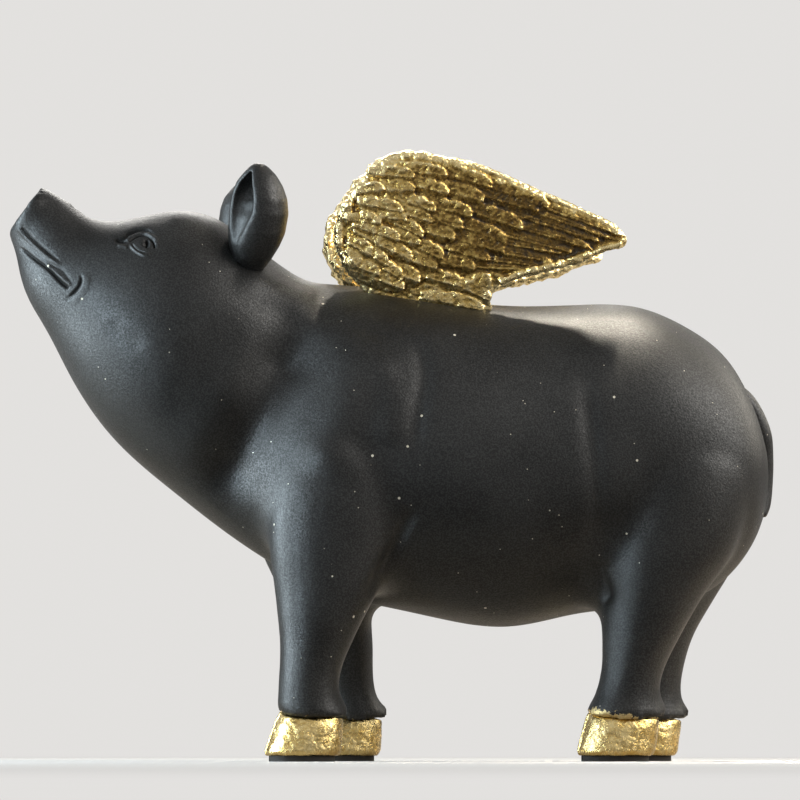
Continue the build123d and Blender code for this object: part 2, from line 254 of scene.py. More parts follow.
class Clay:
    """Mesh that is worked point by point, in millimetres, until it is fired into a piece."""

    # Share of the way to its neighbours' mean that a point goes in one easing pass.
    GIVE = 0.5
    # Voxels on either side of the surface that the grid of a skin holds.
    BAND = 4

    def __init__(self, points: np.ndarray, faces: list) -> None:
        """Lays out the mesh.

        Args:
            points: places, one row each.
            faces: corners of each face.
        """
        self.mesh = bpy.data.meshes.new("clay")
        self.mesh.from_pydata([tuple(p) for p in points], [], [tuple(map(int, f)) for f in faces])
        self.mesh.update()

    @classmethod
    def from_node(cls, node: str, cut: tuple[np.ndarray, np.ndarray] | None = None) -> "Clay":
        """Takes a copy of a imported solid.

        Args:
            node: name of the solid's node.
            cut: point and normal of a plane, past which the copy is cut away.

        Returns:
            The copy as clay.
        """
        copy = bmesh.new()
        copy.from_mesh(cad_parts[node].data)
        bmesh.ops.scale(copy, vec=(1 / METRES,) * 3, verts=copy.verts)
        bmesh.ops.remove_doubles(copy, verts=copy.verts, dist=METRES)
        if cut:
            parts = [*copy.verts, *copy.edges, *copy.faces]
            bmesh.ops.bisect_plane(copy, geom=parts, plane_co=cut[0], plane_no=cut[1], clear_outer=True)
            bmesh.ops.holes_fill(copy, edges=[edge for edge in copy.edges if edge.is_boundary])
            bmesh.ops.triangulate(copy, faces=copy.faces)
        points = np.array([vertex.co for vertex in copy.verts])
        copy.verts.index_update()
        faces = [[vertex.index for vertex in face.verts] for face in copy.faces]
        copy.free()
        return cls(points, faces)

    @classmethod
    def merged(cls, lumps: list["Clay"]) -> "Clay":
        """Puts several lumps of clay into one mesh, still overlapping.

        Args:
            lumps: the lumps.

        Returns:
            One mesh of them all.
        """
        points, faces, count = [], [], 0
        for lump in lumps:
            points.append(lump.points)
            faces += [[corner + count for corner in face] for face in lump.faces]
            count += len(lump.mesh.vertices)
        return cls(np.concatenate(points), faces)

    @property
    def points(self) -> np.ndarray:
        """Places of the mesh, one row each."""
        return read(self.mesh.vertices, "co", np.float32, 3).astype(float)

    @points.setter
    def points(self, places: np.ndarray) -> None:
        """Moves the mesh to new places."""
        self.mesh.vertices.foreach_set("co", places.astype(np.float32).ravel())
        self.mesh.update()

    @property
    def normals(self) -> np.ndarray:
        """Outward directions at the points."""
        return read(self.mesh.vertex_normals, "vector", np.float32, 3).astype(float)

    @property
    def faces(self) -> list[tuple[int, ...]]:
        """Corners of each face."""
        return [face.vertices[:] for face in self.mesh.polygons]

    def near_mean(self, values: np.ndarray) -> np.ndarray:
        """Mean of each point's neighbours.

        Args:
            values: one row for each point.

        Returns:
            Means in the same rows.
        """
        links = read(self.mesh.edges, "vertices", np.int32, 2)
        one, two = links.T
        count = len(values)
        sums = [
            np.bincount(one, column[two], count) + np.bincount(two, column[one], count)
            for column in values.T
        ]
        return np.stack(sums, axis=1) / np.bincount(links.ravel(), minlength=count)[:, None]

    def relax(self, steps: int, hold: float = 0.0, weight: np.ndarray | None = None) -> None:
        """Eases the surface towards the mean of its neighbours.

        Args:
            steps: passes over the mesh.
            hold: share of each pass that is pushed back out, which keeps the bulk.
            weight: how much each point gives, from 0 to 1.
        """
        places = self.points
        give = self.GIVE if weight is None else self.GIVE * weight[:, None]
        for _ in range(steps):
            places = places + give * (self.near_mean(places) - places)
            if hold:
                places = places - hold * give * (self.near_mean(places) - places)
        self.points = places

    def skin(self, voxel: float, fill: float = 0.0) -> "Clay":
        """Wraps the clay in one closed skin.

        Args:
            voxel: fineness of the skin.
            fill: radius of the fillet that is left in every hollow corner.

        Returns:
            The skin as new clay.
        """
        self.mesh.calc_loop_triangles()
        corners = read(self.mesh.loop_triangles, "vertices", np.int32, 3)
        grid = openvdb.createLinearTransform(voxelSize=voxel)
        band = fill / voxel + self.BAND
        level = openvdb.FloatGrid.createLevelSetFromPolygons(
            self.points.astype(np.float32),
            triangles=corners.astype(np.uint32),
            transform=grid,
            halfWidth=band,
        )
        points, quads = level.convertToQuads(isovalue=fill)
        if fill:
            level = openvdb.FloatGrid.createLevelSetFromPolygons(
                points, quads=quads, transform=grid, halfWidth=band
            )
            points, quads = level.convertToQuads(isovalue=-fill)
        first, second, third = (points[quads[:, corner]].astype(float) for corner in range(3))
        if np.einsum("ij,ij->", first, np.cross(second, third)) < 0:
            quads = quads[:, ::-1]
        return Clay(points, quads.tolist())

    def refine(self, chosen: Callable[[np.ndarray], np.ndarray]) -> None:
        """Divides the faces whose centres are chosen in four.

        Args:
            chosen: tells, for rows of centres, which of them are meant.
        """
        work = bmesh.new()
        work.from_mesh(self.mesh)
        work.faces.ensure_lookup_table()
        centres = np.array([face.calc_center_median() for face in work.faces])
        edges = {edge for index in np.flatnonzero(chosen(centres)) for edge in work.faces[index].edges}
        bmesh.ops.subdivide_edges(work, edges=list(edges), cuts=1, use_grid_fill=True)
        bmesh.ops.triangulate(work, faces=[face for face in work.faces if len(face.verts) > 4])
        work.to_mesh(self.mesh)
        work.free()
        self.mesh.update()

    def store(self, name: str, values: np.ndarray) -> None:
        """Keeps one number for each point under a name that a finish reads."""
        layer = self.mesh.attributes.new(name, "FLOAT", "POINT")
        layer.data.foreach_set("value", values.astype(np.float32))

    def fire(self, name: str, material: bpy.types.Material, slot: str, *nodes: str) -> bpy.types.Object:
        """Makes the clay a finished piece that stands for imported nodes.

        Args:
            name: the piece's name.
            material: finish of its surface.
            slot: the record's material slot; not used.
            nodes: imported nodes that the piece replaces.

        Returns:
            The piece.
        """
        self.points = self.points * METRES
        self.mesh.name = name
        self.mesh.shade_smooth()
        self.mesh.materials.append(material)
        piece = show(name, self.mesh)
        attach(piece, BODY)
        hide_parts(*nodes)
        LOG.info("%s: %d faces", name, len(self.mesh.polygons))
        return piece


def crinkle(points: np.ndarray, size: float, seed: float) -> np.ndarray:
    """Smooth noise between -1 and 1 at points.

    Args:
        points: places, one row each.
        size: length of its waves.
        seed: shift that makes one pattern differ from the next.

    Returns:
        One number for each point.
    """
    shift = Vector((seed, -seed, seed / 2))
    return np.array([noise.noise(Vector(place) / size + shift) for place in points])


def rippled(points: np.ndarray, patterns: tuple) -> np.ndarray:
    """Sum of several patterns of smooth noise, each given by its depth, size and seed."""
    return sum(depth * crinkle(points, size, seed) for depth, size, seed in patterns)


def tube(line: np.ndarray, around: int) -> Clay:
    """Closed round bar along a line.

    Args:
        line: rows of a place and a radius.
        around: corners of its section.

    Returns:
        The bar.
    """
    centres, radii = line[:, :3], line[:, 3]
    points = []
    for centre, aim, radius in zip(centres, np.gradient(centres, axis=0), radii):
        ahead = unit(aim)
        aside = unit(np.cross(ahead, OFF_AXIS))
        other = np.cross(ahead, aside)
        for angle in np.linspace(0, 2 * math.pi, around, endpoint=False):
            points.append(centre + radius * (aside * math.cos(angle) + other * math.sin(angle)))
    return Clay(np.array(points), bar_faces(len(line), around))


@dataclass(frozen=True)
class Stroke:
    """Line carved or raised on the near flank and mirrored on the far one.

    The path is in pixels of the photograph, the lift is outward, and the width is in pixels.
    """

    path: Path
    lift: float
    width: float
    fade: float = 0.25

    # Places on the curve between two points of the path.
    STEPS = 12
    # Widths beside the path past which nothing moves.
    REACH = 3
    # Steps before and after the nearest place in which the nearest point is sought.
    SLACK = 0.6

    def height(self, pixels: np.ndarray) -> np.ndarray:
        """Finds how far the stroke moves each point.

        Args:
            pixels: places of the points in the photograph.

        Returns:
            Lift of each point.
        """
        line = smooth_path(self.path, self.STEPS)
        reach = self.REACH * self.width
        close = np.all((pixels > line.min(0) - reach) & (pixels < line.max(0) + reach), axis=1)
        rows = np.flatnonzero(close)
        lifts = np.zeros(len(pixels))
        if len(rows):
            nearest = np.linalg.norm(pixels[rows, None] - line[None], axis=2).argmin(1)
            steps = np.gradient(line, axis=0)[nearest]
            offset = pixels[rows] - line[nearest]
            lengths = (steps**2).sum(1)
            past = np.clip((offset * steps).sum(1) / lengths, -self.SLACK, self.SLACK)
            gaps = ((offset - past[:, None] * steps) ** 2).sum(1)
            along = np.clip((nearest + past) / (len(line) - 1), 0, 1)
            ends = np.clip(np.minimum(along, 1 - along) / self.fade, 0, 1)
            lifts[rows] = self.lift * ends * ends * (3 - 2 * ends) * np.exp(-gaps / self.width**2)
        return lifts


@dataclass(frozen=True)
class Swell:
    """Soft rise or dip about a point, given by its pixel and its distance from the middle plane."""

    pixel: Pixel
    depth: float
    reach: float
    lift: float
    mirrored: bool = True

    def height(self, places: np.ndarray, sided: np.ndarray) -> np.ndarray:
        """Finds how far the swell moves each point.

        Args:
            places: the points, one row each.
            sided: the same points with those of the right side put on the left.

        Returns:
            Lift of each point.
        """
        gap = (sided if self.mirrored else places) - CAMERA.at_depth(self.pixel, self.depth)
        return self.lift * np.exp(-(gap**2).sum(1) / self.reach**2)


class Wiring:
    """Short hand for building a tree of nodes."""

    def __init__(self, tree: bpy.types.NodeTree) -> None:
        """Takes the tree that is built."""
        self.nodes = tree.nodes
        self.links = tree.links

    def feed(self, node: bpy.types.Node, sources: dict) -> bpy.types.Node:
        """Sets a node's inputs, by link or by value.

        Args:
            node: the node to feed.
            sources: sockets or values by input name or number.

        Returns:
            The node.
        """
        for key, source in sources.items():
            if isinstance(source, bpy.types.NodeSocket):
                self.links.new(source, node.inputs[key])
            else:
                node.inputs[key].default_value = source
        return node

    def add(self, kind: str, sources: dict, **settings: object) -> bpy.types.Node:
        """Adds a node with its settings and inputs.

        Args:
            kind: type of the node.
            sources: sockets or values by input name or number.
            settings: properties by name.

        Returns:
            The node.
        """
        node = self.nodes.new(kind)
        for name, value in settings.items():
            setattr(node, name, value)
        return self.feed(node, sources)

    def math(self, operation: str, one: object, two: object = 0.0) -> bpy.types.NodeSocket:
        """Sum, product or other step on two numbers."""
        return self.add("ShaderNodeMath", {0: one, 1: two}, operation=operation).outputs[0]

    def ramp(self, value: object, stops: tuple) -> bpy.types.NodeSocket:
        """Adds a colour that changes along a number.

        Args:
            value: socket or number.
            stops: places and their colours, in order.

        Returns:
            The colour.
        """
        node = self.add("ShaderNodeValToRGB", {"Fac": value})
        elements = node.color_ramp.elements
        elements[0].position, elements[-1].position = stops[0][0], stops[-1][0]
        for place, _ in stops[1:-1]:
            elements.new(place)
        for element, (_, colour) in zip(elements, stops):
            element.color = opaque(colour)
        return node.outputs["Color"]


class Finish(Wiring):
    """Material that is built from nodes, with its patterns fixed to the piece."""

    def __init__(self, name: str) -> None:
        """Starts a material with its principled shader.

        Args:
            name: the material's name.
        """
        self.material = bpy.data.materials.new(name)
        self.material.use_nodes = True
        super().__init__(self.material.node_tree)
        self.shader = self.nodes["Principled BSDF"]
        self.place = self.add("ShaderNodeTexCoord", {}).outputs["Object"]

    def noise(self, size: float, detail: float = 3.0, rough: float = 0.5) -> bpy.types.NodeSocket:
        """Cloudy pattern with features of a size in millimetres."""
        sources = {"Vector": self.place, "Scale": 1 / (size * METRES), "Detail": detail, "Roughness": rough}
        return self.add("ShaderNodeTexNoise", sources).outputs["Fac"]

    def cells(self, size: float) -> bpy.types.NodeSocket:
        """Distance from the nearest of scattered points, with their mean spacing in millimetres."""
        sources = {"Vector": self.place, "Scale": 1 / (size * METRES)}
        return self.add("ShaderNodeTexVoronoi", sources).outputs["Distance"]

    def dots(self, spacing: float, radius: float) -> bpy.types.NodeSocket:
        """Scattered round dots, with their radius as a share of their spacing."""
        return self.math("LESS_THAN", self.cells(spacing), radius)

    def stored(self, name: str) -> bpy.types.NodeSocket:
        """Number that a piece's points keep under a name."""
        return self.add("ShaderNodeAttribute", {}, attribute_name=name).outputs["Fac"]

    def swing(self, pattern: object, gain: float) -> bpy.types.NodeSocket:
        """Pattern that is shifted to either side of zero and multiplied."""
        return self.math("MULTIPLY", self.math("SUBTRACT", pattern, 0.5), gain)

    def span(self, value: object, low: float, high: float, start: float, end: float) -> bpy.types.NodeSocket:
        """Takes a range of a number smoothly to another range."""
        sources = {"Value": value, "From Min": low, "From Max": high, "To Min": start, "To Max": end}
        return self.add("ShaderNodeMapRange", sources, interpolation_type="SMOOTHSTEP").outputs["Result"]

    def blend(self, share: object, one: object, two: object) -> bpy.types.NodeSocket:
        """Colour between two colours."""
        sources = {0: share, 6: opaque(one), 7: opaque(two)}
        return self.add("ShaderNodeMix", sources, data_type="RGBA").outputs[2]

    def bump(self, height: object, depth: float) -> bpy.types.NodeSocket:
        """Direction of a surface that is roughened by a pattern of a depth in millimetres."""
        return self.add("ShaderNodeBump", {"Height": height, "Distance": depth * METRES}).outputs["Normal"]

    def cover(self, **sources: object) -> bpy.types.Material:
        """Feeds the shader, by input name with spaces as underscores, and hands the material over."""
        self.feed(self.shader, {name.replace("_", " "): source for name, source in sources.items()})
        return self.material


@dataclass(frozen=True)
class GoldLeaf:
    """Gold leaf laid over a brown undercoat and crinkled, with painted highlights on edges and ridges and
    painted shade in hollows.
    """

    name: str = "gold_leaf"
    # Colour stops: the low ones carry painted shade as well as dull leaf, the top one painted highlights as
    # well as shiny leaf.
    bright: tuple = (0.97, 0.79, 0.41)
    leaf: tuple = (0.71, 0.495, 0.158)
    worn: tuple = (0.285, 0.172, 0.049)
    ground: tuple = (0.045, 0.028, 0.012)
    colour_places: tuple = (0.18, 0.40, 0.58, 0.88)
    patch_size: float = 5.5
    crinkle_size: float = 1.3
    crinkle_depth: float = 0.30
    crease_size: float = 2.47
    crease_share: float = 0.5
    mottle: float = 0.5
    worn_heights: tuple = (-0.38, -0.08)
    worn_metal: float = 0.25
    dull_reach: tuple = (0.35, 0.7)
    roughness: tuple = (0.18, 0.34)

    def material(self) -> bpy.types.Material:
        """Wires the finish.

        Returns:
            The material.
        """
        wiring = Finish(self.name)
        height = wiring.stored("relief")
        patches = wiring.noise(self.patch_size, 4.0, 0.6)
        fine = wiring.noise(self.crinkle_size, 4.0, 0.62)
        for pattern in (patches, fine):
            height = wiring.math("ADD", height, wiring.swing(pattern, self.mottle))
        # Low stored relief darkens the colour and takes metal away, which is painted shade; high relief
        # lightens it, which is painted highlight. The noise adds random tone.
        stops = tuple(zip(self.colour_places, (self.ground, self.worn, self.leaf, self.bright)))
        colour = wiring.ramp(wiring.math("ADD", height, 0.5), stops)
        metal = wiring.span(height, *self.worn_heights, self.worn_metal, 1.0)
        dull = wiring.span(fine, *self.dull_reach, *self.roughness)
        creases = wiring.math("MULTIPLY", wiring.cells(self.crease_size), self.crease_share)
        bump = wiring.bump(wiring.math("ADD", creases, fine), self.crinkle_depth)
        return wiring.cover(Base_Color=colour, Metallic=metal, Roughness=dull, Normal=bump)


@dataclass(frozen=True)
class BlackPaint:
    """Satin black paint with a fine grain, pale specks and dust, and leaf edges above the hooves."""

    name: str = "black_paint"
    dark: tuple = (0.0045, 0.0045, 0.0043)
    light: tuple = (0.0095, 0.0094, 0.0088)
    speck: tuple = (0.62, 0.57, 0.46)
    gilt: tuple = (0.93, 0.76, 0.40)
    rubbed_gilt: tuple = (0.20, 0.12, 0.04)
    cloud_size: float = 16.0
    cloud_roughness: tuple = (0.43, 0.50)
    grain_size: float = 0.65
    grain_depth: float = 0.10
    grain_roughness: tuple = (-0.05, 0.06)
    stipple_size: float = 0.5
    stipple_reach: tuple = (0.38, 0.66)
    stipple_gloss: tuple = (0.79, 1.38)
    # Specular level in the carved creases of the face, lowered there: painted shade.
    crease_reach: tuple = (0.15, 0.9)
    crease_gloss: tuple = (0.5, 0.12)
    speck_spacing: float = 9.0
    speck_share: float = 0.045
    dust_spacing: float = 5.0
    dust_share: float = 0.035
    tear_size: float = 2.2
    tear_height: float = 7.0
    leaf_step: float = 2.0

    def material(self) -> bpy.types.Material:
        """Wires the finish.

        Returns:
            The material.
        """
        wiring = Finish(self.name)
        cloud = wiring.noise(self.cloud_size, 4.0)
        grain = wiring.noise(self.grain_size, 2.0, 0.6)
        specks = wiring.dots(self.speck_spacing, self.speck_share)
        dust = wiring.dots(self.dust_spacing, self.dust_share)
        paint = wiring.blend(wiring.span(cloud, *NOISE_REACH, 0.0, 1.0), self.dark, self.light)
        paint = wiring.blend(wiring.math("MAXIMUM", specks, dust), paint, self.speck)
        ragged = wiring.swing(wiring.noise(self.tear_size, 4.0, 0.7), self.tear_height)
        leaf = wiring.math("GREATER_THAN", ragged, wiring.stored("above_leaf"))
        colour = wiring.blend(leaf, paint, wiring.blend(grain, self.rubbed_gilt, self.gilt))
        rough = wiring.math(
            "ADD",
            wiring.span(cloud, *NOISE_REACH, *self.cloud_roughness),
            wiring.span(grain, *NOISE_REACH, *self.grain_roughness),
        )
        # Specular level drops where the face is carved deep, which is painted shade in its creases, and
        # varies with the paint's stipple grain.
        gloss = wiring.math(
            "MULTIPLY",
            wiring.span(wiring.stored("crease"), *self.crease_reach, *self.crease_gloss),
            wiring.span(wiring.noise(self.stipple_size, 1.0), *self.stipple_reach, *self.stipple_gloss),
        )
        relief = wiring.math("ADD", grain, wiring.math("MULTIPLY", leaf, self.leaf_step))
        bump = wiring.bump(relief, self.grain_depth)
        return wiring.cover(
            Base_Color=colour, Metallic=leaf, Roughness=rough, Specular_IOR_Level=gloss, Normal=bump
        )


@dataclass(frozen=True)
class FootRubber:
    """Dark foot pads with a slightly mottled, matt face."""

    name: str = "foot_rubber"
    dark: tuple = (0.010, 0.009, 0.008)
    light: tuple = (0.030, 0.026, 0.022)
    mottle_size: float = 1.5
    mottle_depth: float = 0.06
    roughness: float = 0.8

    def material(self) -> bpy.types.Material:
        """Wires the finish.

        Returns:
            The material.
        """
        wiring = Finish(self.name)
        mottle = wiring.noise(self.mottle_size, 4.0)
        colour = wiring.blend(mottle, self.dark, self.light)
        bump = wiring.bump(mottle, self.mottle_depth)
        return wiring.cover(Base_Color=colour, Roughness=self.roughness, Normal=bump)


@dataclass(frozen=True)
class DowelSteel:
    """Plain drawn steel of the hidden dowels."""

    name: str = "dowel_steel"
    dark: tuple = (0.30, 0.30, 0.31)
    light: tuple = (0.52, 0.52, 0.53)
    streak_size: float = 0.8
    roughness: tuple = (0.28, 0.42)

    def material(self) -> bpy.types.Material:
        """Wires the finish.

        Returns:
            The material.
        """
        wiring = Finish(self.name)
        streak = wiring.noise(self.streak_size)
        colour = wiring.blend(streak, self.dark, self.light)
        dull = wiring.span(streak, *NOISE_REACH, *self.roughness)
        return wiring.cover(Base_Color=colour, Metallic=1.0, Roughness=dull)


@dataclass
class Ankle:
    """Sloping joint between a leg and its hoof, read from the hoof's box."""

    leg: Leg
    height: float = 15.0
    slope: float = 12.0
    heel_shift: float = 2.2

    @property
    def hoof(self) -> str:
        """Name of the hoof's node."""
        return f"{self.leg.value}_hoof"

    @property
    def plane(self) -> tuple[np.ndarray, np.ndarray]:
        """Middle of the joint and its upward normal."""
        low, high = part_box(self.hoof)
        middle = (np.array(low) + np.array(high)) / 2 / METRES
        turn = math.radians(self.slope)
        centre = np.array((middle[0] + self.heel_shift, middle[1], self.height))
        return centre, np.array((math.sin(turn), 0.0, math.cos(turn)))

    def above(self, points: np.ndarray) -> np.ndarray:
        """Height of points above the joint."""
        centre, normal = self.plane
        return (points - centre) @ normal


ANKLES = [Ankle(leg) for leg in Leg]


def above_ankles(points: np.ndarray) -> np.ndarray:
    """Height of points above the joint of the leg that they belong to.

    Args:
        points: places on the casting, one row each.

    Returns:
        One height for each point.
    """
    reach = [np.linalg.norm(points[:, :2] - ankle.plane[0][:2], axis=1) for ankle in ANKLES]
    heights = np.array([ankle.above(points) for ankle in ANKLES])
    return heights[np.argmin(reach, axis=0), np.arange(len(points))]


@dataclass
class BodyCasting:
    """Painted casting of trunk, head and legs, with the carved face."""

    voxel: float = 1.3
    fillet: float = 9.0
    ease_steps: int = 14
    face_ease_steps: int = 6
    ease_hold: float = 0.9
    ankle_fade: float = 4.0
    grazing: float = 0.3
    crease_depth: float = 0.55
    cuff: float = 0.3
    cuff_height: float = 2.5
    bare_front: float = 3.0
    bare_hind: float = 1.2

    # Pixel and reach of the parts of the face whose mesh is divided, one time after the other.
    FACE_ZONES = (
        ((138.0, 243.0), 34.0),
        ((138.0, 243.0), 28.0),
        ((140.0, 243.0), 24.0),
        ((50.0, 262.0), 60.0),
        ((50.0, 265.0), 46.0),
        ((76.0, 212.0), 22.0),
    )

    # Broad forms of trunk, neck, head and legs.
    FORMS = (
        Stroke(((416, 335), (424, 375), (419, 407), (412, 455)), -0.9, 9.0),
        Stroke(((380, 350), (392, 400), (384, 450)), 0.8, 16.0),
        Stroke(((310, 318), (284, 365), (258, 420), (230, 470), (206, 500)), -6.6, 30.0),
        Stroke(((240, 305), (224, 355), (200, 420), (182, 468)), -2.6, 44.0, 0.4),
        Stroke(((236, 272), (262, 284), (294, 299), (320, 308)), 1.8, 14.0, 0.3),
        Stroke(((368, 330), (344, 410), (318, 480)), 1.8, 28.0),
        Stroke(((166, 216), (190, 220), (222, 235)), 0.5, 9.0),
        Stroke(((415, 505), (392, 552), (366, 600)), -1.3, 6.0),
        Stroke(((584, 366), (592, 440), (598, 504), (600, 556)), -0.9, 10.0),
        Stroke(((597, 560), (604, 582), (612, 604)), -1.2, 5.0),
        Stroke(((108, 322), (122, 336), (146, 346)), -0.35, 8.0),
        Swell((279, 266), 0.0, 13.0, 2.2),
        Swell((100, 219), 0.0, 8.0, 0.7),
        Swell((757, 415), 0.0, 18.0, -2.0),
        Swell((748, 556), 0.0, 15.0, -1.1),
        Swell((697, 640), 26.0, 11.0, -1.6, False),
        Swell((607, 627), -26.0, 9.0, 1.4, False),
        Swell((264, 576), 20.0, 12.0, -3.2, False),
        Swell((382, 610), 22.0, 8.0, -1.5, False),
        Swell((525, 620), 0.0, 28.0, 0.8),
        Swell((20, 270), 0.0, 9.0, 1.0),
        Swell((27, 203), 0.0, 7.0, -1.6),
        Swell((47, 193), 0.0, 9.0, 0.7),
        Swell((385, 715), 26.5, 4.0, 1.6, False),
        Swell((682, 716), 26.5, 4.0, 1.6, False),
        Swell((341, 708), -26.5, 4.0, 1.0, False),
        Swell((664, 708), -26.5, 4.0, 1.2, False),
    )

    # Lines of the eye, then those of the mouth and its corner.
    CARVING = (
        Stroke(
            (
                (114, 239.3), (124.5, 237), (128.6, 233.6), (135.7, 231.2),
                (144.4, 230.2), (151, 232.6), (157.4, 238.5),
            ),
            -0.8, 1.9, 0.3,
        ),
        Stroke(
            ((129, 238.3), (136.7, 233.9), (144.9, 232.9), (152, 235.4), (156.8, 240.5), (158.8, 247.7)),
            0.45, 1.6, 0.3,
        ),
        Stroke(
            (
                (128.6, 241.8), (133.7, 238.3), (138.8, 236), (144.9, 235.3),
                (150.2, 238.6), (153.6, 243.6), (154.8, 249.4),
            ),
            -0.70, 1.2, 0.10,
        ),
        Stroke(((113.5, 240), (121, 240.6), (128.6, 241.6)), -0.9, 2.1, 0.4),
        Stroke(((117, 245), (123, 246.2), (128.5, 247.6)), 0.35, 1.8, 0.3),
        Stroke(((129.6, 243.8), (133.2, 248.7), (138.8, 253.2), (145, 255.2), (152, 253)), 0.40, 1.4, 0.2),
        Stroke(((145.9, 240), (146.8, 243.4), (145.6, 248.4)), -1.1, 2.0, 0.22),
        Stroke(((131.5, 243.2), (134.5, 248), (139.8, 251.4), (146, 252.6)), -0.30, 1.0, 0.2),
        Stroke(((20.2, 226.4), (26, 232.8), (33, 239.8), (46, 251.4), (60, 262)), -0.55, 2.0, 0.2),
        Stroke(((17.5, 226), (23.5, 234), (32, 242), (46.5, 255), (62, 267)), 0.45, 2.4, 0.15),
        Stroke(((45, 262), (54, 265.6), (62, 270.5), (72, 282.5)), -0.22, 1.4, 0.2),
        Stroke(((44, 264.5), (54, 271), (63, 278.6), (72, 286.6)), 0.32, 2.0, 0.15),
        Stroke(((19, 247), (34.4, 259.3), (48.2, 269.2), (62, 283.4), (69.5, 288.6)), -0.80, 1.6, 0.15),
        Stroke(((81.3, 273), (80.6, 282.6), (75.9, 290.5), (64.6, 302.2)), -0.6, 1.5, 0.3),
        Stroke(((86.5, 272), (86, 284), (80, 295), (70, 305)), 0.25, 4.0, 0.3),
    )

    # Eyeball, folds behind the snout and nostril.
    SWELLS = (
        Swell((143.0, 245.5), -21.0, 3.0, 0.55),
        Swell((67.1, 209.5), 0.0, 3.0, 1.0),
        Swell((79.0, 216.0), 0.0, 2.6, 0.9),
        Swell((73.5, 212.5), 0.0, 1.9, -1.0),
        Swell((85.5, 219.0), 0.0, 2.4, -0.8),
        Swell((27.0, 208.0), -4.6, 2.4, -3.0),
    )

    def zone(self, centres: np.ndarray, pixel: Pixel, reach: float) -> np.ndarray:
        """Tells which places lie about a pixel of the face, on either side."""
        sided = np.stack((centres[:, 0], -np.abs(centres[:, 1]), centres[:, 2]), axis=1)
        return np.linalg.norm(CAMERA.project(sided) - pixel, axis=1) < reach

    def carve(self, clay: Clay, strokes: tuple) -> np.ndarray:
        """Moves the surface along its normals by strokes and swells.

        Args:
            clay: the casting.
            strokes: what to carve.

        Returns:
            How far each point was moved.
        """
        places, aims = clay.points, clay.normals
        flip = np.where(places[:, 1] > 0, -1.0, 1.0)
        mirror = np.stack((np.ones_like(flip), flip, np.ones_like(flip)), axis=1)
        sided = places * mirror
        pixels = CAMERA.project(sided)
        view = CAMERA.eye - sided
        view = view / np.linalg.norm(view, axis=1)[:, None]
        facing = np.clip(((aims * mirror) * view).sum(1) / self.grazing, 0.0, 1.0)
        lift = np.zeros(len(places))
        for mark in strokes:
            flat = isinstance(mark, Stroke)
            lift += mark.height(pixels) * facing if flat else mark.height(places, sided)
        clay.points = places + aims * lift[:, None]
        return lift

    def build(self, material: bpy.types.Material) -> bpy.types.Object:
        """Skins, eases and carves the casting.

        Args:
            material: its paint.

        Returns:
            The piece.
        """
        clay = Clay.from_node("body_casting").skin(self.voxel, self.fillet)
        free = np.clip(above_ankles(clay.points) / self.ankle_fade, 0.0, 1.0)
        clay.relax(self.ease_steps, self.ease_hold, free)
        self.carve(clay, self.FORMS)
        cuff = self.cuff * np.exp(-((above_ankles(clay.points) / self.cuff_height) ** 2))
        clay.points = clay.points + clay.normals * (1, 1, 0) * cuff[:, None]
        for pixel, reach in self.FACE_ZONES:
            clay.refine(lambda centres, pixel=pixel, reach=reach: self.zone(centres, pixel, reach))
        face = np.any([self.zone(clay.points, *zone) for zone in self.FACE_ZONES], axis=0).astype(float)
        clay.relax(self.face_ease_steps, self.ease_hold, face)
        lift = self.carve(clay, self.CARVING + self.SWELLS)
        # Depth of the carving, which the paint reads to lower its specular level in creases: painted shade.
        clay.store("crease", np.clip(-lift / self.crease_depth, 0.0, 1.0) * face)
        bare = np.where(clay.points[:, 0] < 0.0, self.bare_front, self.bare_hind)
        clay.store("above_leaf", above_ankles(clay.points) + bare)
        return clay.fire("body_casting_painted", material, "black_paint", "body_casting")


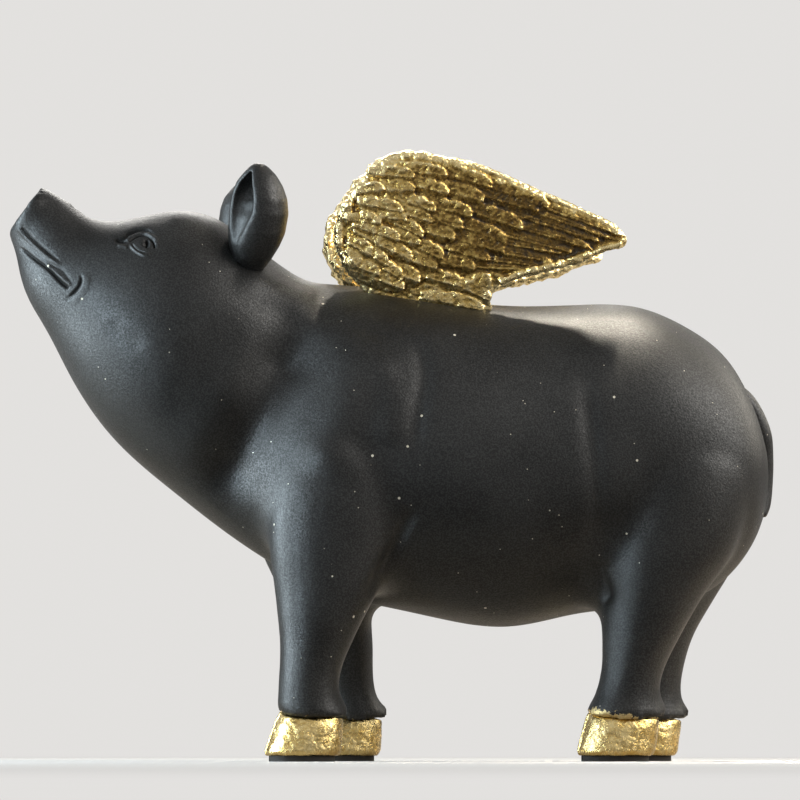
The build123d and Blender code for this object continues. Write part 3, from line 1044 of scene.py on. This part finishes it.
@dataclass
class EarShell:
    """Cupped ear on the head, opening forward and outward, with a thick rolled rim."""

    side: Side
    root: tuple = (-45.96, -18.5, 159.6)
    length: float = 25.6
    lean: float = 14.0
    rake: float = 5.0
    turn: float = 38.0
    lip: float = 1.3
    least_reach: float = 0.1
    around: int = 48
    rows: int = 60
    voxel: float = 0.4
    ease_steps: int = 16
    ease_hold: float = 0.7

    # Height in lengths, radius, half angle that the back goes round, and shift along the figure.
    SECTIONS = (
        (-0.28, 4.6, 179.0, -1.4),
        (-0.15, 6.4, 176.0, -1.1),
        (0.02, 8.0, 166.0, -0.6),
        (0.18, 8.9, 155.0, -0.2),
        (0.42, 9.2, 141.0, -0.1),
        (0.60, 8.6, 140.0, -0.4),
        (0.75, 7.2, 146.0, -0.8),
        (0.88, 4.9, 156.0, -1.0),
        (0.97, 2.6, 170.0, -1.4),
        (1.0, 1.2, 176.0, -1.6),
    )
    # Height in lengths and depth of the cup in radii.
    CUP = (
        (-0.4, 0.0), (0.0, 0.0), (0.12, 0.08), (0.34, 0.16),
        (0.52, 0.38), (0.75, 0.85), (0.92, 0.8), (1.0, 0.3),
    )

    def axes(self) -> tuple[Vector, Vector, Vector]:
        """Directions of the left ear.

        Returns:
            Unit vectors along the opening, across it and up the ear.
        """
        up = Vector((0, 0, 1))
        up.rotate(Matrix.Rotation(math.radians(self.lean), 3, "X"))
        up.rotate(Matrix.Rotation(math.radians(self.rake), 3, "Y"))
        mouth = Vector((-1, 0, 0))
        mouth.rotate(Matrix.Rotation(math.radians(self.turn), 3, "Z"))
        mouth = (mouth - up * mouth.dot(up)).normalized()
        return mouth, up.cross(mouth), up

    def section(self, radius: float, sweep: float, depth: float) -> list[tuple[float, float]]:
        """Closed outline across the ear: the round back, then the cup between its two rims.

        Args:
            radius: outer radius.
            sweep: half angle that the back goes round.
            depth: how far the cup goes in from the line between the rims.

        Returns:
            Points along the opening and across it.
        """
        half = math.radians(sweep)
        angles = np.linspace(-half, half, self.around)
        outline = [(-radius * math.cos(angle), radius * math.sin(angle)) for angle in angles]
        front = -radius * math.cos(half)
        reach = max(radius * math.sin(half) - self.lip, self.least_reach)
        for share in np.cos(np.linspace(0, math.pi, self.around // 2)):
            outline.append((front - depth * (1 - share * share) ** 0.5, reach * share))
        return outline

    def build(self, material: bpy.types.Material) -> bpy.types.Object:
        """Lofts the ear and sets it on its side of the head.

        Args:
            material: its paint.

        Returns:
            The piece.
        """
        mouth, across, up = (np.array(axis) for axis in self.axes())
        heights, *measures = np.array(self.SECTIONS).T
        points = []
        for height in np.linspace(heights[0], heights[-1], self.rows):
            radius, sweep, shift = (np.interp(height, heights, row) for row in measures)
            depth = np.interp(height, *np.array(self.CUP).T) * radius
            centre = np.array(self.root) + up * height * self.length + np.array((shift, 0.0, 0.0))
            for ahead, aside in self.section(radius, sweep, depth):
                points.append(centre + mouth * ahead + across * aside)
        faces = bar_faces(self.rows, len(points) // self.rows)
        clay = Clay(np.array(points), faces).skin(self.voxel)
        clay.relax(self.ease_steps, self.ease_hold)
        places = clay.points
        places[:, 1] *= -self.side.value
        clay.points = places
        if self.side is Side.RIGHT:
            clay.mesh.flip_normals()
        clay.store("above_leaf", np.full(len(places), CLEAR_OF_LEAF))
        name = f"{self.side.label}_ear"
        return clay.fire(f"{name}_painted", material, "black_paint", name)


@dataclass
class Tail:
    """Thin tail that lies down the rump and ends in a rounded point."""

    voxel: float = 0.4
    around: int = 24
    steps: int = 8
    ease_steps: int = 6
    ease_hold: float = 0.8

    # Places down the rump, each with the radius there.
    LINE = (
        (102.5, 0.0, 123.0, 1.0),
        (106.0, 0.0, 119.8, 1.8),
        (112.2, 0.0, 113.4, 2.9),
        (116.8, 0.6, 104.2, 3.1),
        (118.2, 2.0, 96.0, 2.8),
        (118.4, 2.6, 88.0, 2.5),
        (117.9, 1.6, 81.2, 2.1),
        (117.0, 0.0, 77.4, 1.3),
    )

    def build(self, material: bpy.types.Material) -> bpy.types.Object:
        """Sweeps the tail down its line.

        Args:
            material: its paint.

        Returns:
            The piece.
        """
        clay = tube(smooth_path(self.LINE, self.steps), self.around).skin(self.voxel)
        clay.relax(self.ease_steps, self.ease_hold)
        clay.store("above_leaf", np.full(len(clay.points), CLEAR_OF_LEAF))
        return clay.fire("tail_painted", material, "black_paint", "tail")


@dataclass
class Hoof:
    """Cloven hoof under one leg, gilded over its ragged upper edge."""

    ankle: Ankle
    voxel: float = 0.45
    ease_steps: int = 12
    ease_hold: float = 0.6
    edge_fade: float = 2.5
    edge_give: float = 0.15
    relief: float = 0.20

    # Depth, size and seed of the dents that the leaf is beaten into.
    DENTS = ((0.16, 4.0, 3.7), (0.096, 4.0 / 3, 9.1))

    def build(self, material: bpy.types.Material) -> bpy.types.Object:
        """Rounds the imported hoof, takes off its hidden peg and beats the leaf on.

        Args:
            material: its gilding.

        Returns:
            The piece.
        """
        clay = Clay.from_node(self.ankle.hoof, self.ankle.plane).skin(self.voxel)
        give = np.clip(-self.ankle.above(clay.points) / self.edge_fade, self.edge_give, 1.0)
        clay.relax(self.ease_steps, self.ease_hold, give)
        places = clay.points
        clay.points = places + clay.normals * rippled(places, self.DENTS)[:, None]
        clay.store("relief", np.full(len(places), self.relief))
        return clay.fire(f"{self.ankle.hoof}_gilded", material, "gold_leaf", self.ankle.hoof)


@dataclass(frozen=True)
class FeatherRow:
    """Fan of feathers on one face of a wing.

    The first and last feathers go from base to tip in pixels of the photograph, the tips of those between
    bow out by pixels, and the rise is how far base and tip stand off the middle plane.
    """

    count: int
    first: tuple[Pixel, Pixel]
    last: tuple[Pixel, Pixel]
    rise: tuple[float, float]
    width: float
    thickness: float
    bow: Pixel
    kind: Plume


@dataclass
class FeatherShape:
    """Closed feather of unit length and width, with its quill, barbs and rounded tip."""

    kind: Plume
    along: int
    across: int
    barbs: int
    slant: float
    tip_start: float
    tip_power: float

    # Width at the base, and how much it grows along the feather.
    BASE_WIDTH = 0.62
    WIDENING = 0.8
    # Heights in thicknesses.
    UNDERSIDE = -1.4
    CROWN = 0.9
    FALL = 0.65
    QUILL = 0.24
    RIDGE = 0.14
    BARB = 0.07
    EDGE = 0.14
    # Shares of the half width: quill, raised edge and its place, and where barbs are full, as one over it.
    QUILL_WIDTH = 0.12
    EDGE_WIDTH = 0.14
    EDGE_PLACE = 0.92
    BARB_RISE = 4

    def build(self) -> bpy.types.Object:
        """Makes the feather that the rows repeat.

        Returns:
            An object that isn't part of the figure.
        """
        points, faces = [], []
        for level in (1, 0):
            for step in range(self.along + 1):
                x = step / self.along
                narrow = max(0.0, (x - self.tip_start) / (1 - self.tip_start))
                taper = math.sqrt(max(0.0, 1 - narrow**self.tip_power))
                half = 0.5 * min(1.0, self.BASE_WIDTH + self.WIDENING * x) * taper
                for place in range(self.across + 1):
                    share = 2 * place / self.across - 1
                    points.append((x, half * share, self.height(x, share) if level else self.UNDERSIDE))
        row = self.across + 1
        floor = (self.along + 1) * row
        for step in range(self.along):
            for place in range(self.across):
                corner = step * row + place
                quad = (corner, corner + row, corner + row + 1, corner + 1)
                faces.append(quad)
                faces.append(tuple(floor + index for index in reversed(quad)))
        left = [step * row for step in range(self.along + 1)]
        right = [step * row + self.across for step in range(self.along + 1)]
        rim = left[::-1] + list(range(1, self.across)) + right + list(range(right[-1] - 1, left[-1], -1))
        for one, two in zip(rim, rim[1:] + rim[:1]):
            faces.append((one, two, floor + two, floor + one))
        mesh = bpy.data.meshes.new("feather")
        mesh.from_pydata(points, [], faces)
        work = bmesh.new()
        work.from_mesh(mesh)
        bmesh.ops.remove_doubles(work, verts=work.verts, dist=1e-5)
        bmesh.ops.recalc_face_normals(work, faces=work.faces)
        work.to_mesh(mesh)
        work.free()
        return show("feather_shape", mesh)

    def height(self, x: float, share: float) -> float:
        """Top of the feather at a place.

        Args:
            x: share of the length from the base.
            share: place across, from -1 to 1.

        Returns:
            Height in thicknesses.
        """
        crown = self.CROWN - self.FALL * share * share
        quill = self.QUILL * math.exp(-((share / self.QUILL_WIDTH) ** 2))
        if self.kind is Plume.FLIGHT:
            return crown + quill + self.RIDGE * math.cos(math.pi * self.barbs * share)
        barb = self.BARB * math.sin(2 * math.pi * self.barbs * (x - self.slant * abs(share)))
        edge = self.EDGE * math.exp(-(((abs(share) - self.EDGE_PLACE) / self.EDGE_WIDTH) ** 2))
        return crown + quill + barb * min(1.0, self.BARB_RISE * abs(share)) + edge


class FeatherFan(Wiring):
    """Node tree that lays one row of feathers between its first and its last one."""

    INPUTS = (
        ("Feather", "NodeSocketObject"),
        ("Count", "NodeSocketInt"),
        ("First Base", "NodeSocketVector"),
        ("Last Base", "NodeSocketVector"),
        ("First Tip", "NodeSocketVector"),
        ("Last Tip", "NodeSocketVector"),
        ("Tip Bow", "NodeSocketVector"),
        ("Width", "NodeSocketFloat"),
        ("Thickness", "NodeSocketFloat"),
        ("Roll", "NodeSocketFloat"),
        ("Unevenness", "NodeSocketFloat"),
        ("Seed", "NodeSocketInt"),
        ("Finish", "NodeSocketMaterial"),
    )

    def __init__(self) -> None:
        """Builds the tree."""
        self.tree = bpy.data.node_groups.new("feather_fan", "GeometryNodeTree")
        super().__init__(self.tree)
        self.tree.interface.new_socket("Geometry", in_out="OUTPUT", socket_type="NodeSocketGeometry")
        self.keys = {
            name: self.tree.interface.new_socket(name, in_out="INPUT", socket_type=kind).identifier
            for name, kind in self.INPUTS
        }
        self.given = self.add("NodeGroupInput", {}).outputs
        self.wire()

    def vector(self, operation: str, one: object, two: object) -> bpy.types.NodeSocket:
        """Step on two vectors."""
        return self.add("ShaderNodeVectorMath", {0: one, 1: two}, operation=operation).outputs[0]

    def between(self, share: object, one: object, two: object) -> bpy.types.NodeSocket:
        """Vector between two vectors."""
        node = self.add("ShaderNodeMix", {0: share, 4: one, 5: two}, data_type="VECTOR")
        return node.outputs[1]

    def scaled(self, vector: object, factor: object) -> bpy.types.NodeSocket:
        """Vector times a number."""
        return self.add("ShaderNodeVectorMath", {0: vector, "Scale": factor}, operation="SCALE").outputs[0]

    def jitter(self, seed_shift: int) -> bpy.types.NodeSocket:
        """Adds a random vector for each feather, up to the unevenness each way.

        Args:
            seed_shift: number that tells it from other random vectors.

        Returns:
            The vector.
        """
        seed = self.math("ADD", self.given["Seed"], float(seed_shift))
        limits = {0: (-1.0, -1.0, 0.0), 1: (1.0, 1.0, 0.0), "Seed": seed}
        node = self.add("FunctionNodeRandomValue", limits, data_type="FLOAT_VECTOR")
        return self.scaled(node.outputs[0], self.given["Unevenness"])

    def wire(self) -> None:
        """Wires the row: places, directions, instances, one mesh with its finish."""
        line = self.add("GeometryNodeMeshLine", {"Count": self.given["Count"]})
        index = self.add("GeometryNodeInputIndex", {}).outputs[0]
        share = self.math("DIVIDE", index, self.math("SUBTRACT", self.given["Count"], 1.0))
        base = self.between(share, self.given["First Base"], self.given["Last Base"])
        base = self.vector("ADD", base, self.jitter(0))
        tip = self.between(share, self.given["First Tip"], self.given["Last Tip"])
        # The arch is 0 at both ends of the row and 1 in its middle.
        arch = self.math("MULTIPLY", share, self.math("SUBTRACT", 1.0, share))
        bow = self.scaled(self.given["Tip Bow"], self.math("MULTIPLY", arch, 4.0))
        tip = self.vector("ADD", self.vector("ADD", tip, bow), self.jitter(1))
        quill = self.vector("SUBTRACT", tip, base)
        length = self.add("ShaderNodeVectorMath", {0: quill}, operation="LENGTH").outputs["Value"]
        parts = self.add("ShaderNodeSeparateXYZ", {0: quill}).outputs
        heading = self.math("ARCTAN2", parts[1], parts[0])
        pitch = self.math("MULTIPLY", self.math("ARCSINE", self.math("DIVIDE", parts[2], length)), -1.0)
        turn = self.add("ShaderNodeCombineXYZ", {0: self.given["Roll"], 1: pitch, 2: heading}).outputs[0]
        size = self.add(
            "ShaderNodeCombineXYZ", {0: length, 1: self.given["Width"], 2: self.given["Thickness"]}
        ).outputs[0]
        shape = self.add("GeometryNodeObjectInfo", {"Object": self.given["Feather"]}).outputs["Geometry"]
        set_place = self.add("GeometryNodeSetPosition", {"Geometry": line.outputs[0], "Position": base})
        turned = self.add("FunctionNodeEulerToRotation", {0: turn}).outputs[0]
        copies = self.add(
            "GeometryNodeInstanceOnPoints",
            {"Points": set_place.outputs[0], "Instance": shape, "Rotation": turned, "Scale": size},
        )
        whole = self.add("GeometryNodeRealizeInstances", {0: copies.outputs[0]})
        finish = self.add(
            "GeometryNodeSetMaterial", {"Geometry": whole.outputs[0], "Material": self.given["Finish"]}
        )
        self.add("NodeGroupOutput", {0: finish.outputs[0]})

    def lay(self, **values: object) -> Clay:
        """Lays one row.

        Args:
            values: inputs of the tree by name, with spaces as underscores.

        Returns:
            The feathers as overlapping closed lumps.
        """
        carrier = show("feather_carrier", bpy.data.meshes.new("feather_carrier"))
        fan = carrier.modifiers.new("feather_fan", "NODES")
        fan.node_group = self.tree
        for name, value in values.items():
            fan[self.keys[name.replace("_", " ")]] = value
        graph = bpy.context.evaluated_depsgraph_get()
        mesh = bpy.data.meshes.new_from_object(carrier.evaluated_get(graph))
        carrier.modifiers.remove(fan)
        bpy.data.objects.remove(carrier)
        points = np.array([vertex.co for vertex in mesh.vertices])
        faces = [face.vertices[:] for face in mesh.polygons]
        bpy.data.meshes.remove(mesh)
        return Clay(points, faces)


@dataclass
class WingPair:
    """Both feathered wings, modelled once on the left and mirrored to the right."""

    origin: tuple = (-19.73, -10.0, 143.3)
    lean: float = 16.0
    yaw: float = 5.0
    voxel: float = 0.32
    edge_half: float = 0.8
    middle_half: float = 2.2
    tip_share: float = 0.45
    rings: int = 9
    outline_steps: int = 6
    roll: float = 9.0
    unevenness: float = 1.6
    seed: int = 11
    border_steps: int = 9
    border_corners: int = 14
    border_offset: float = 0.55
    border_lumps: float = 0.45
    border_lump_size: float = 2.2
    border_seed: float = 4.0
    even_steps: int = 36
    # Gain and limit of the shading painted from the relief: painted highlight on ridges, painted shade in
    # hollows.
    relief_gain: float = 0.9
    relief_limit: float = 0.5
    # Strength and reach of painted highlights on the borders, inner face and front and low lobes, and of
    # painted shade over the long feathers.
    border_shine: float = 0.28
    border_reach: float = 2.2
    inner_shine: float = 0.25
    inner_reach: float = 5.0
    front_shine: float = 0.17
    low_shine: float = 0.14
    low_fade: float = 5.0
    flight_shade: float = 0.16
    shade_start: float = 1.5
    shade_fade: float = 2.5

    # Outline, middle line and raised borders in pixels of the photograph, the borders with their radii.
    OUTLINE = (
        (341, 262), (336, 236), (341, 212), (352, 194), (368, 173), (384, 158), (411, 152),
        (455, 159), (487, 168), (541, 191), (590, 212), (614, 224), (626, 236), (624, 247),
        (607, 250), (592, 257), (575, 263), (548, 271), (520, 278), (498, 286), (489, 302),
        (488, 322), (440, 322), (400, 313), (374, 300), (355, 281),
    )
    SPINE = ((372, 232), (420, 236), (480, 226), (545, 234), (598, 240))
    LEADING_EDGE = (
        (349, 270, 1.1), (339, 240, 1.4), (344, 213, 1.6), (355, 196, 1.7), (371, 175, 1.7), (387, 161, 1.6),
        (411, 156, 1.6), (455, 163, 1.4), (487, 171, 1.2), (541, 194, 1.0), (590, 215, 0.9), (618, 231, 0.8),
    )
    TRAILING_EDGE = (
        (621, 244, 1.0), (606, 247, 1.1), (590, 253, 1.4), (575, 259, 1.5), (548, 266, 1.6), (520, 273, 1.6),
        (499, 282, 1.4),
    )
    # Middle of the front lobe, start and middle of the long feathers, and upper edge of the low lobe.
    SHADE_MARKS = ((380, 230), (440, 230), (512, 230))
    LOW_MARK = (430, 262)
    # Two neighbouring pixels, which give a pixel's size on the wing.
    NEIGHBOURS = ((400, 230), (401, 230))
    # Depth, size and seed of the crinkles in the leaf.
    RIPPLES = ((0.22, 1.2, 5.0), (0.30, 2.8, 8.0))
    # Parts in which distances are worked out, to spare memory.
    BATCHES = 40

    # Points along and across, barbs and their slant, start and roundness of the tip.
    SHAPES = (
        FeatherShape(Plume.FLIGHT, 40, 20, 5, 0.0, 0.70, 1.5),
        FeatherShape(Plume.COVERT, 112, 12, 24, 0.06, 0.80, 2.0),
        FeatherShape(Plume.SCALE, 64, 12, 13, 0.13, 0.60, 2.2),
    )
    ROWS = (
        FeatherRow(
            9, ((450, 176), (619, 234)), ((440, 261), (530, 269)), (0.9, 0.7), 4.6, 0.9, (3, 1), Plume.FLIGHT
        ),
        FeatherRow(
            8, ((430, 166), (546, 202)), ((392, 268), (464, 282)), (1.0, 1.3), 6.8, 1.0, (0, 3), Plume.COVERT
        ),
        FeatherRow(
            3, ((470, 274), (492, 290)), ((420, 296), (489, 304)), (1.0, 1.2), 7.0, 1.0, (0, 0), Plume.SCALE
        ),
        FeatherRow(
            8, ((405, 162), (496, 184)), ((366, 262), (424, 284)), (1.3, 1.9), 6.8, 1.0, (0, 0), Plume.COVERT
        ),
        FeatherRow(
            9, ((386, 164), (450, 178)), ((353, 264), (400, 288)), (1.7, 2.4), 6.2, 1.0, (2, 0), Plume.SCALE
        ),
        FeatherRow(
            8, ((370, 176), (414, 178)), ((347, 256), (377, 276)), (2.0, 2.7), 6.0, 1.0, (5, 0), Plume.SCALE
        ),
        FeatherRow(
            6, ((356, 194), (385, 190)), ((342, 246), (361, 264)), (2.0, 2.8), 6.0, 1.0, (4, 0), Plume.SCALE
        ),
    )

    def axes(self) -> tuple[np.ndarray, np.ndarray, np.ndarray]:
        """Directions of the left wing.

        Returns:
            Unit vectors along the wing, up it and outward.
        """
        along = Vector((1, 0, 0))
        along.rotate(Matrix.Rotation(math.radians(-self.yaw), 3, "Z"))
        outward = Vector((0, -1, 0))
        outward.rotate(Matrix.Rotation(math.radians(self.lean), 3, "X"))
        outward.rotate(Matrix.Rotation(math.radians(-self.yaw), 3, "Z"))
        return np.array(along), np.array(outward.cross(along)), np.array(outward)

    def flat(self, pixel: Pixel) -> np.ndarray:
        """Finds a pixel's place in the wing's own middle plane.

        Args:
            pixel: place in the photograph.

        Returns:
            Distances along the wing and up it.
        """
        along, up, outward = self.axes()
        place = CAMERA.on_plane(pixel, np.array(self.origin), outward) - np.array(self.origin)
        return np.array((place @ along, place @ up))

    def rim(self) -> np.ndarray:
        """Outline in the wing's own plane, which ends where it starts."""
        outline = smooth_path((*self.OUTLINE, self.OUTLINE[0]), self.outline_steps)
        return np.array([self.flat(pixel) for pixel in outline])

    def plate(self) -> Clay:
        """Makes the swelling core that carries the feathers.

        Returns:
            The core in the wing's own plane.
        """
        rim = self.rim()[:-1]
        spine = np.array([self.flat(pixel) for pixel in self.SPINE])
        ends = (spine[0, 0], spine[-1, 0])
        inner = np.clip(rim[:, 0], *ends)
        middle = np.stack((inner, np.interp(inner, spine[:, 0], spine[:, 1])), axis=1)
        thin = np.interp(rim[:, 0], ends, (1.0, self.tip_share))
        points = []
        for face in (1, -1):
            for ring in range(self.rings):
                inward = ring / (self.rings - 1)
                swell = math.sqrt(1 - (1 - inward) ** 2)
                thick = self.edge_half + (self.middle_half - self.edge_half) * swell
                for place, height in zip(rim + (middle - rim) * inward, thick * thin):
                    points.append((*place, face * height))
        count = len(rim)
        back = self.rings * count
        faces = ring_faces(self.rings, count) + ring_faces(self.rings, count, back)
        for step in range(count):
            after = (step + 1) % count
            faces.append((step, after, back + after, back + step))
        return Clay(np.array(points), faces)

    def feathers(self, material: bpy.types.Material) -> list[Clay]:
        """Lays every row of feathers on both faces.

        Args:
            material: their gilding.

        Returns:
            The rows in the wing's own plane.
        """
        shapes = {shape.kind: shape.build() for shape in self.SHAPES}
        fan = FeatherFan()
        rows = []
        one, two = (self.flat(pixel) for pixel in self.NEIGHBOURS)
        pixel_size = np.linalg.norm(two - one)
        for index, row in enumerate(self.ROWS):
            ends = [
                (*self.flat(pixel), rise)
                for feather in (row.first, row.last)
                for pixel, rise in zip(feather, row.rise)
            ]
            lump = fan.lay(
                Feather=shapes[row.kind],
                Count=row.count,
                First_Base=ends[0],
                First_Tip=ends[1],
                Last_Base=ends[2],
                Last_Tip=ends[3],
                Tip_Bow=(row.bow[0] * pixel_size, -row.bow[1] * pixel_size, 0.0),
                Width=row.width,
                Thickness=row.thickness,
                Roll=math.radians(self.roll),
                Unevenness=self.unevenness,
                Seed=self.seed + index,
                Finish=material,
            )
            rows.append(lump)
            rows.append(Clay(lump.points * (1.0, 1.0, -1.0), [face[::-1] for face in lump.faces]))
        for shape in shapes.values():
            bpy.data.objects.remove(shape)
        return rows

    def borders(self) -> list[Clay]:
        """Rolls the raised borders along the leading and the trailing edge, on both faces.

        Returns:
            The borders in the wing's own plane.
        """
        rolls = []
        for border in (self.LEADING_EDGE, self.TRAILING_EDGE):
            marks = smooth_path(border, self.border_steps)
            for face in (1, -1):
                offset = face * self.border_offset
                roll = np.array([(*self.flat(mark[:2]), mark[2] * offset, mark[2]) for mark in marks])
                lumps = crinkle(roll[:, :3], self.border_lump_size, self.border_seed + face)
                roll[:, 3] *= 1 + self.border_lumps * lumps
                rolls.append(tube(roll, self.border_corners))
        return rolls

    def rubbed(self, places: np.ndarray) -> np.ndarray:
        """Paints light and shade onto the leaf by place: painted highlights on the borders, the front and
        low lobes and the inner face, painted shade over the long feathers.

        Args:
            places: points in the wing's own plane.

        Returns:
            A number to add to the relief of each point.
        """
        rim = self.rim()
        gap = np.concatenate(
            [
                np.linalg.norm(part[:, None] - rim[None], axis=2).min(1)
                for part in np.array_split(places[:, :2], self.BATCHES)
            ]
        )
        lobe, start, end = (self.flat(pixel)[0] for pixel in self.SHADE_MARKS)
        run = np.clip((places[:, 0] - start) / (end - start), 0.0, 1.0)
        front = np.clip((start - places[:, 0]) / (start - lobe), 0.0, 1.0)
        low = np.clip((self.flat(self.LOW_MARK)[1] - places[:, 1]) / self.low_fade, 0.0, 1.0)
        inside = np.clip((gap - self.shade_start) / self.shade_fade, 0.0, 1.0)
        # Painted highlight along the outline, painted shade over the long feathers, painted highlights on
        # the lobes and near the outline of the inner face.
        border = self.border_shine * np.exp(-((gap / self.border_reach) ** 2))
        shade = self.flight_shade * run * inside * (1 - low)
        lobes = np.maximum(self.front_shine * front, self.low_shine * low)
        near = np.exp(-((gap / self.inner_reach) ** 2))
        inner = np.where(places[:, 2] < 0.0, self.inner_shine * run * near, 0.0)
        return border - shade + lobes + inner

    def build(self, material: bpy.types.Material) -> list[bpy.types.Object]:
        """Skins core and feathers into one leaf-covered wing and sets it on both sides.

        Args:
            material: their gilding.

        Returns:
            The two pieces.
        """
        wing = Clay.merged([self.plate(), *self.borders(), *self.feathers(material)]).skin(self.voxel)
        smooth = wing.points
        wing.points = smooth + wing.normals * rippled(smooth, self.RIPPLES)[:, None]
        even = Clay(wing.points, wing.faces)
        even.relax(self.even_steps)
        # Ridges against an eased copy get a painted highlight, hollows painted shade; the painted light by
        # place is added.
        relief = self.relief_gain * ((wing.points - even.points) * wing.normals).sum(1)
        relief = np.clip(relief + self.rubbed(wing.points), -self.relief_limit, self.relief_limit)
        places = wing.points @ np.stack(self.axes()) + np.array(self.origin)
        pieces = []
        for side in Side:
            faces = wing.faces if side is Side.LEFT else [face[::-1] for face in wing.faces]
            clay = Clay(places * (1.0, -side.value, 1.0), faces)
            clay.store("relief", relief)
            name = f"{side.label}_wing"
            pieces.append(clay.fire(f"{name}_gilded", material, "gold_leaf", name))
        return pieces


@dataclass(frozen=True)
class Lamp:
    """Flat lamp that faces a place on the figure; a small spread keeps its light in a narrow beam."""

    name: str
    place: tuple[float, float, float]
    size: tuple[float, float]
    power: float
    colour: tuple[float, float, float]
    aim: tuple[float, float, float] = (0.0, 0.0, 95.0)
    spread: float = 180.0

    def build(self) -> None:
        """Hangs the lamp."""
        data = bpy.data.lights.new(self.name, "AREA")
        data.shape = "RECTANGLE"
        data.size, data.size_y = (METRES * side for side in self.size)
        data.energy = self.power
        data.color = self.colour
        data.spread = math.radians(self.spread)
        lamp = show(self.name, data)
        turn = (Vector(self.aim) - Vector(self.place)).to_track_quat("-Z", "Y").to_matrix().to_4x4()
        lamp.matrix_world = Matrix.Translation(Vector(self.place) * METRES) @ turn


@dataclass
class Stage:
    """Pale floor and backdrop, a warm lamp above, cool panels on the left and pale ones around."""

    floor_size: float = 6000.0
    floor_colour: tuple = (0.60, 0.585, 0.57)
    floor_roughness: float = 0.9
    # Light that the floor bounces onto the figure is darker than the floor the camera sees, and darkest in
    # front of the figure: painted shade on its lower and near faces.
    bounce_colour: tuple = (0.38, 0.33, 0.27)
    bounce_dark: tuple = (0.06, 0.05, 0.04)
    bounce_reach: tuple = (-110.0, -40.0)
    backdrop_colour: tuple = (0.765, 0.752, 0.735)
    fade_reach: tuple = (250.0, 900.0)

    # Height of a ray and the level of light that it meets in the room.
    ROOM = ((0.0, 0.02), (0.5, 0.92), (0.95, 0.35))
    LAMPS = (
        Lamp("key", (170, 190, 960), (70, 70), 0.26, (1.0, 0.91, 0.76), (120, -20, 130), 24.5),
        Lamp("left_panel", (-700, 30, 250), (360, 620), 8.0, (0.74, 0.90, 1.0)),
        Lamp("face_panel", (-570, -400, 150), (140, 220), 0.08, (0.72, 0.89, 1.0), (-60, -30, 130), 26.0),
        Lamp("low_panel", (-520, 0, 50), (300, 90), 0.9, (0.80, 0.93, 1.0)),
        Lamp("right_panel", (660, 190, 430), (420, 420), 2.2, (1.0, 0.93, 0.80)),
        Lamp("front_panel", (620, -330, 480), (420, 420), 4.2, (1.0, 0.97, 0.92)),
        Lamp("back_panel", (0, 620, 560), (320, 320), 2.2, (1.0, 0.97, 0.92)),
    )

    def floor(self) -> bpy.types.Object:
        """Lays the floor.

        Returns:
            The floor, which isn't part of the figure.
        """
        half = self.floor_size / 2
        corners = [(-half, -half, 0.0), (half, -half, 0.0), (half, half, 0.0), (-half, half, 0.0)]
        mesh = bpy.data.meshes.new("floor")
        mesh.from_pydata([tuple(METRES * axis for axis in corner) for corner in corners], [], [(0, 1, 2, 3)])
        wiring = Finish("floor_paper")
        # Rays other than the camera's meet the darker bounce colour: painted shade on the figure.
        seen = wiring.add("ShaderNodeLightPath", {}).outputs["Is Camera Ray"]
        across = wiring.add("ShaderNodeSeparateXYZ", {"Vector": wiring.place}).outputs["Y"]
        behind = wiring.span(across, *(METRES * reach for reach in self.bounce_reach), 0.0, 1.0)
        bounce = wiring.blend(behind, self.bounce_dark, self.bounce_colour)
        paint = wiring.blend(seen, bounce, self.floor_colour)
        away = wiring.add("ShaderNodeVectorMath", {0: wiring.place}, operation="LENGTH").outputs["Value"]
        fade = wiring.span(away, *(METRES * reach for reach in self.fade_reach), 0.0, 1.0)
        paper = wiring.add("ShaderNodeEmission", {"Color": opaque(self.backdrop_colour)}).outputs[0]
        mixed = wiring.add("ShaderNodeMixShader", {0: fade, 1: wiring.shader.outputs[0], 2: paper})
        wiring.feed(wiring.nodes["Material Output"], {"Surface": mixed.outputs[0]})
        mesh.materials.append(wiring.cover(Base_Color=paint, Roughness=self.floor_roughness))
        floor = show("floor", mesh)
        return floor

    def surroundings(self) -> None:
        """Sets a pale backdrop for the eye and a softer room for the light."""
        world = bpy.data.worlds.new("studio")
        world.use_nodes = True
        bpy.context.scene.world = world
        wiring = Wiring(world.node_tree)
        seen = wiring.add("ShaderNodeLightPath", {}).outputs["Is Camera Ray"]
        ray = wiring.add("ShaderNodeTexCoord", {}).outputs["Generated"]
        height = wiring.add("ShaderNodeSeparateXYZ", {0: ray}).outputs["Z"]
        room = wiring.ramp(height, tuple((place, (level, level, level)) for place, level in self.ROOM))
        strength = wiring.add("ShaderNodeMix", {"Factor": seen, "A": room, "B": 1.0}).outputs["Result"]
        backdrop = {"Color": opaque(self.backdrop_colour), "Strength": strength}
        wiring.feed(wiring.nodes["Background"], backdrop)

    def build(self) -> None:
        """Sets up floor, lamps and surroundings."""
        self.floor()
        for lamp in self.LAMPS:
            lamp.build()
        self.surroundings()
        bpy.context.scene.view_settings.view_transform = "Standard"


def dress_kept_nodes() -> None:
    """Gives the pads and the hidden dowels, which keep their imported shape, their finishes."""
    rubber = FootRubber().material()
    steel = DowelSteel().material()
    finishes = {f"{leg.value}_pad": rubber for leg in Leg}
    finishes.update({f"{side.label}_wing_pins": steel for side in Side})
    for node, material in finishes.items():
        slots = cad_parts[node].data.materials
        slots.clear()
        slots.append(material)
        LOG.info("%s: %s", node, material.name)


def main() -> None:
    """Builds stage, camera and every piece of the figure in order."""
    logging.basicConfig(level=logging.INFO, format="%(message)s")
    Stage().build()
    CAMERA.build()
    paint = BlackPaint().material()
    gilding = GoldLeaf().material()
    BodyCasting().build(paint)
    for side in Side:
        EarShell(side).build(paint)
    Tail().build(paint)
    WingPair().build(gilding)
    for ankle in ANKLES:
        Hoof(ankle).build(gilding)
    dress_kept_nodes()


if __name__ == "__main__":
    main()
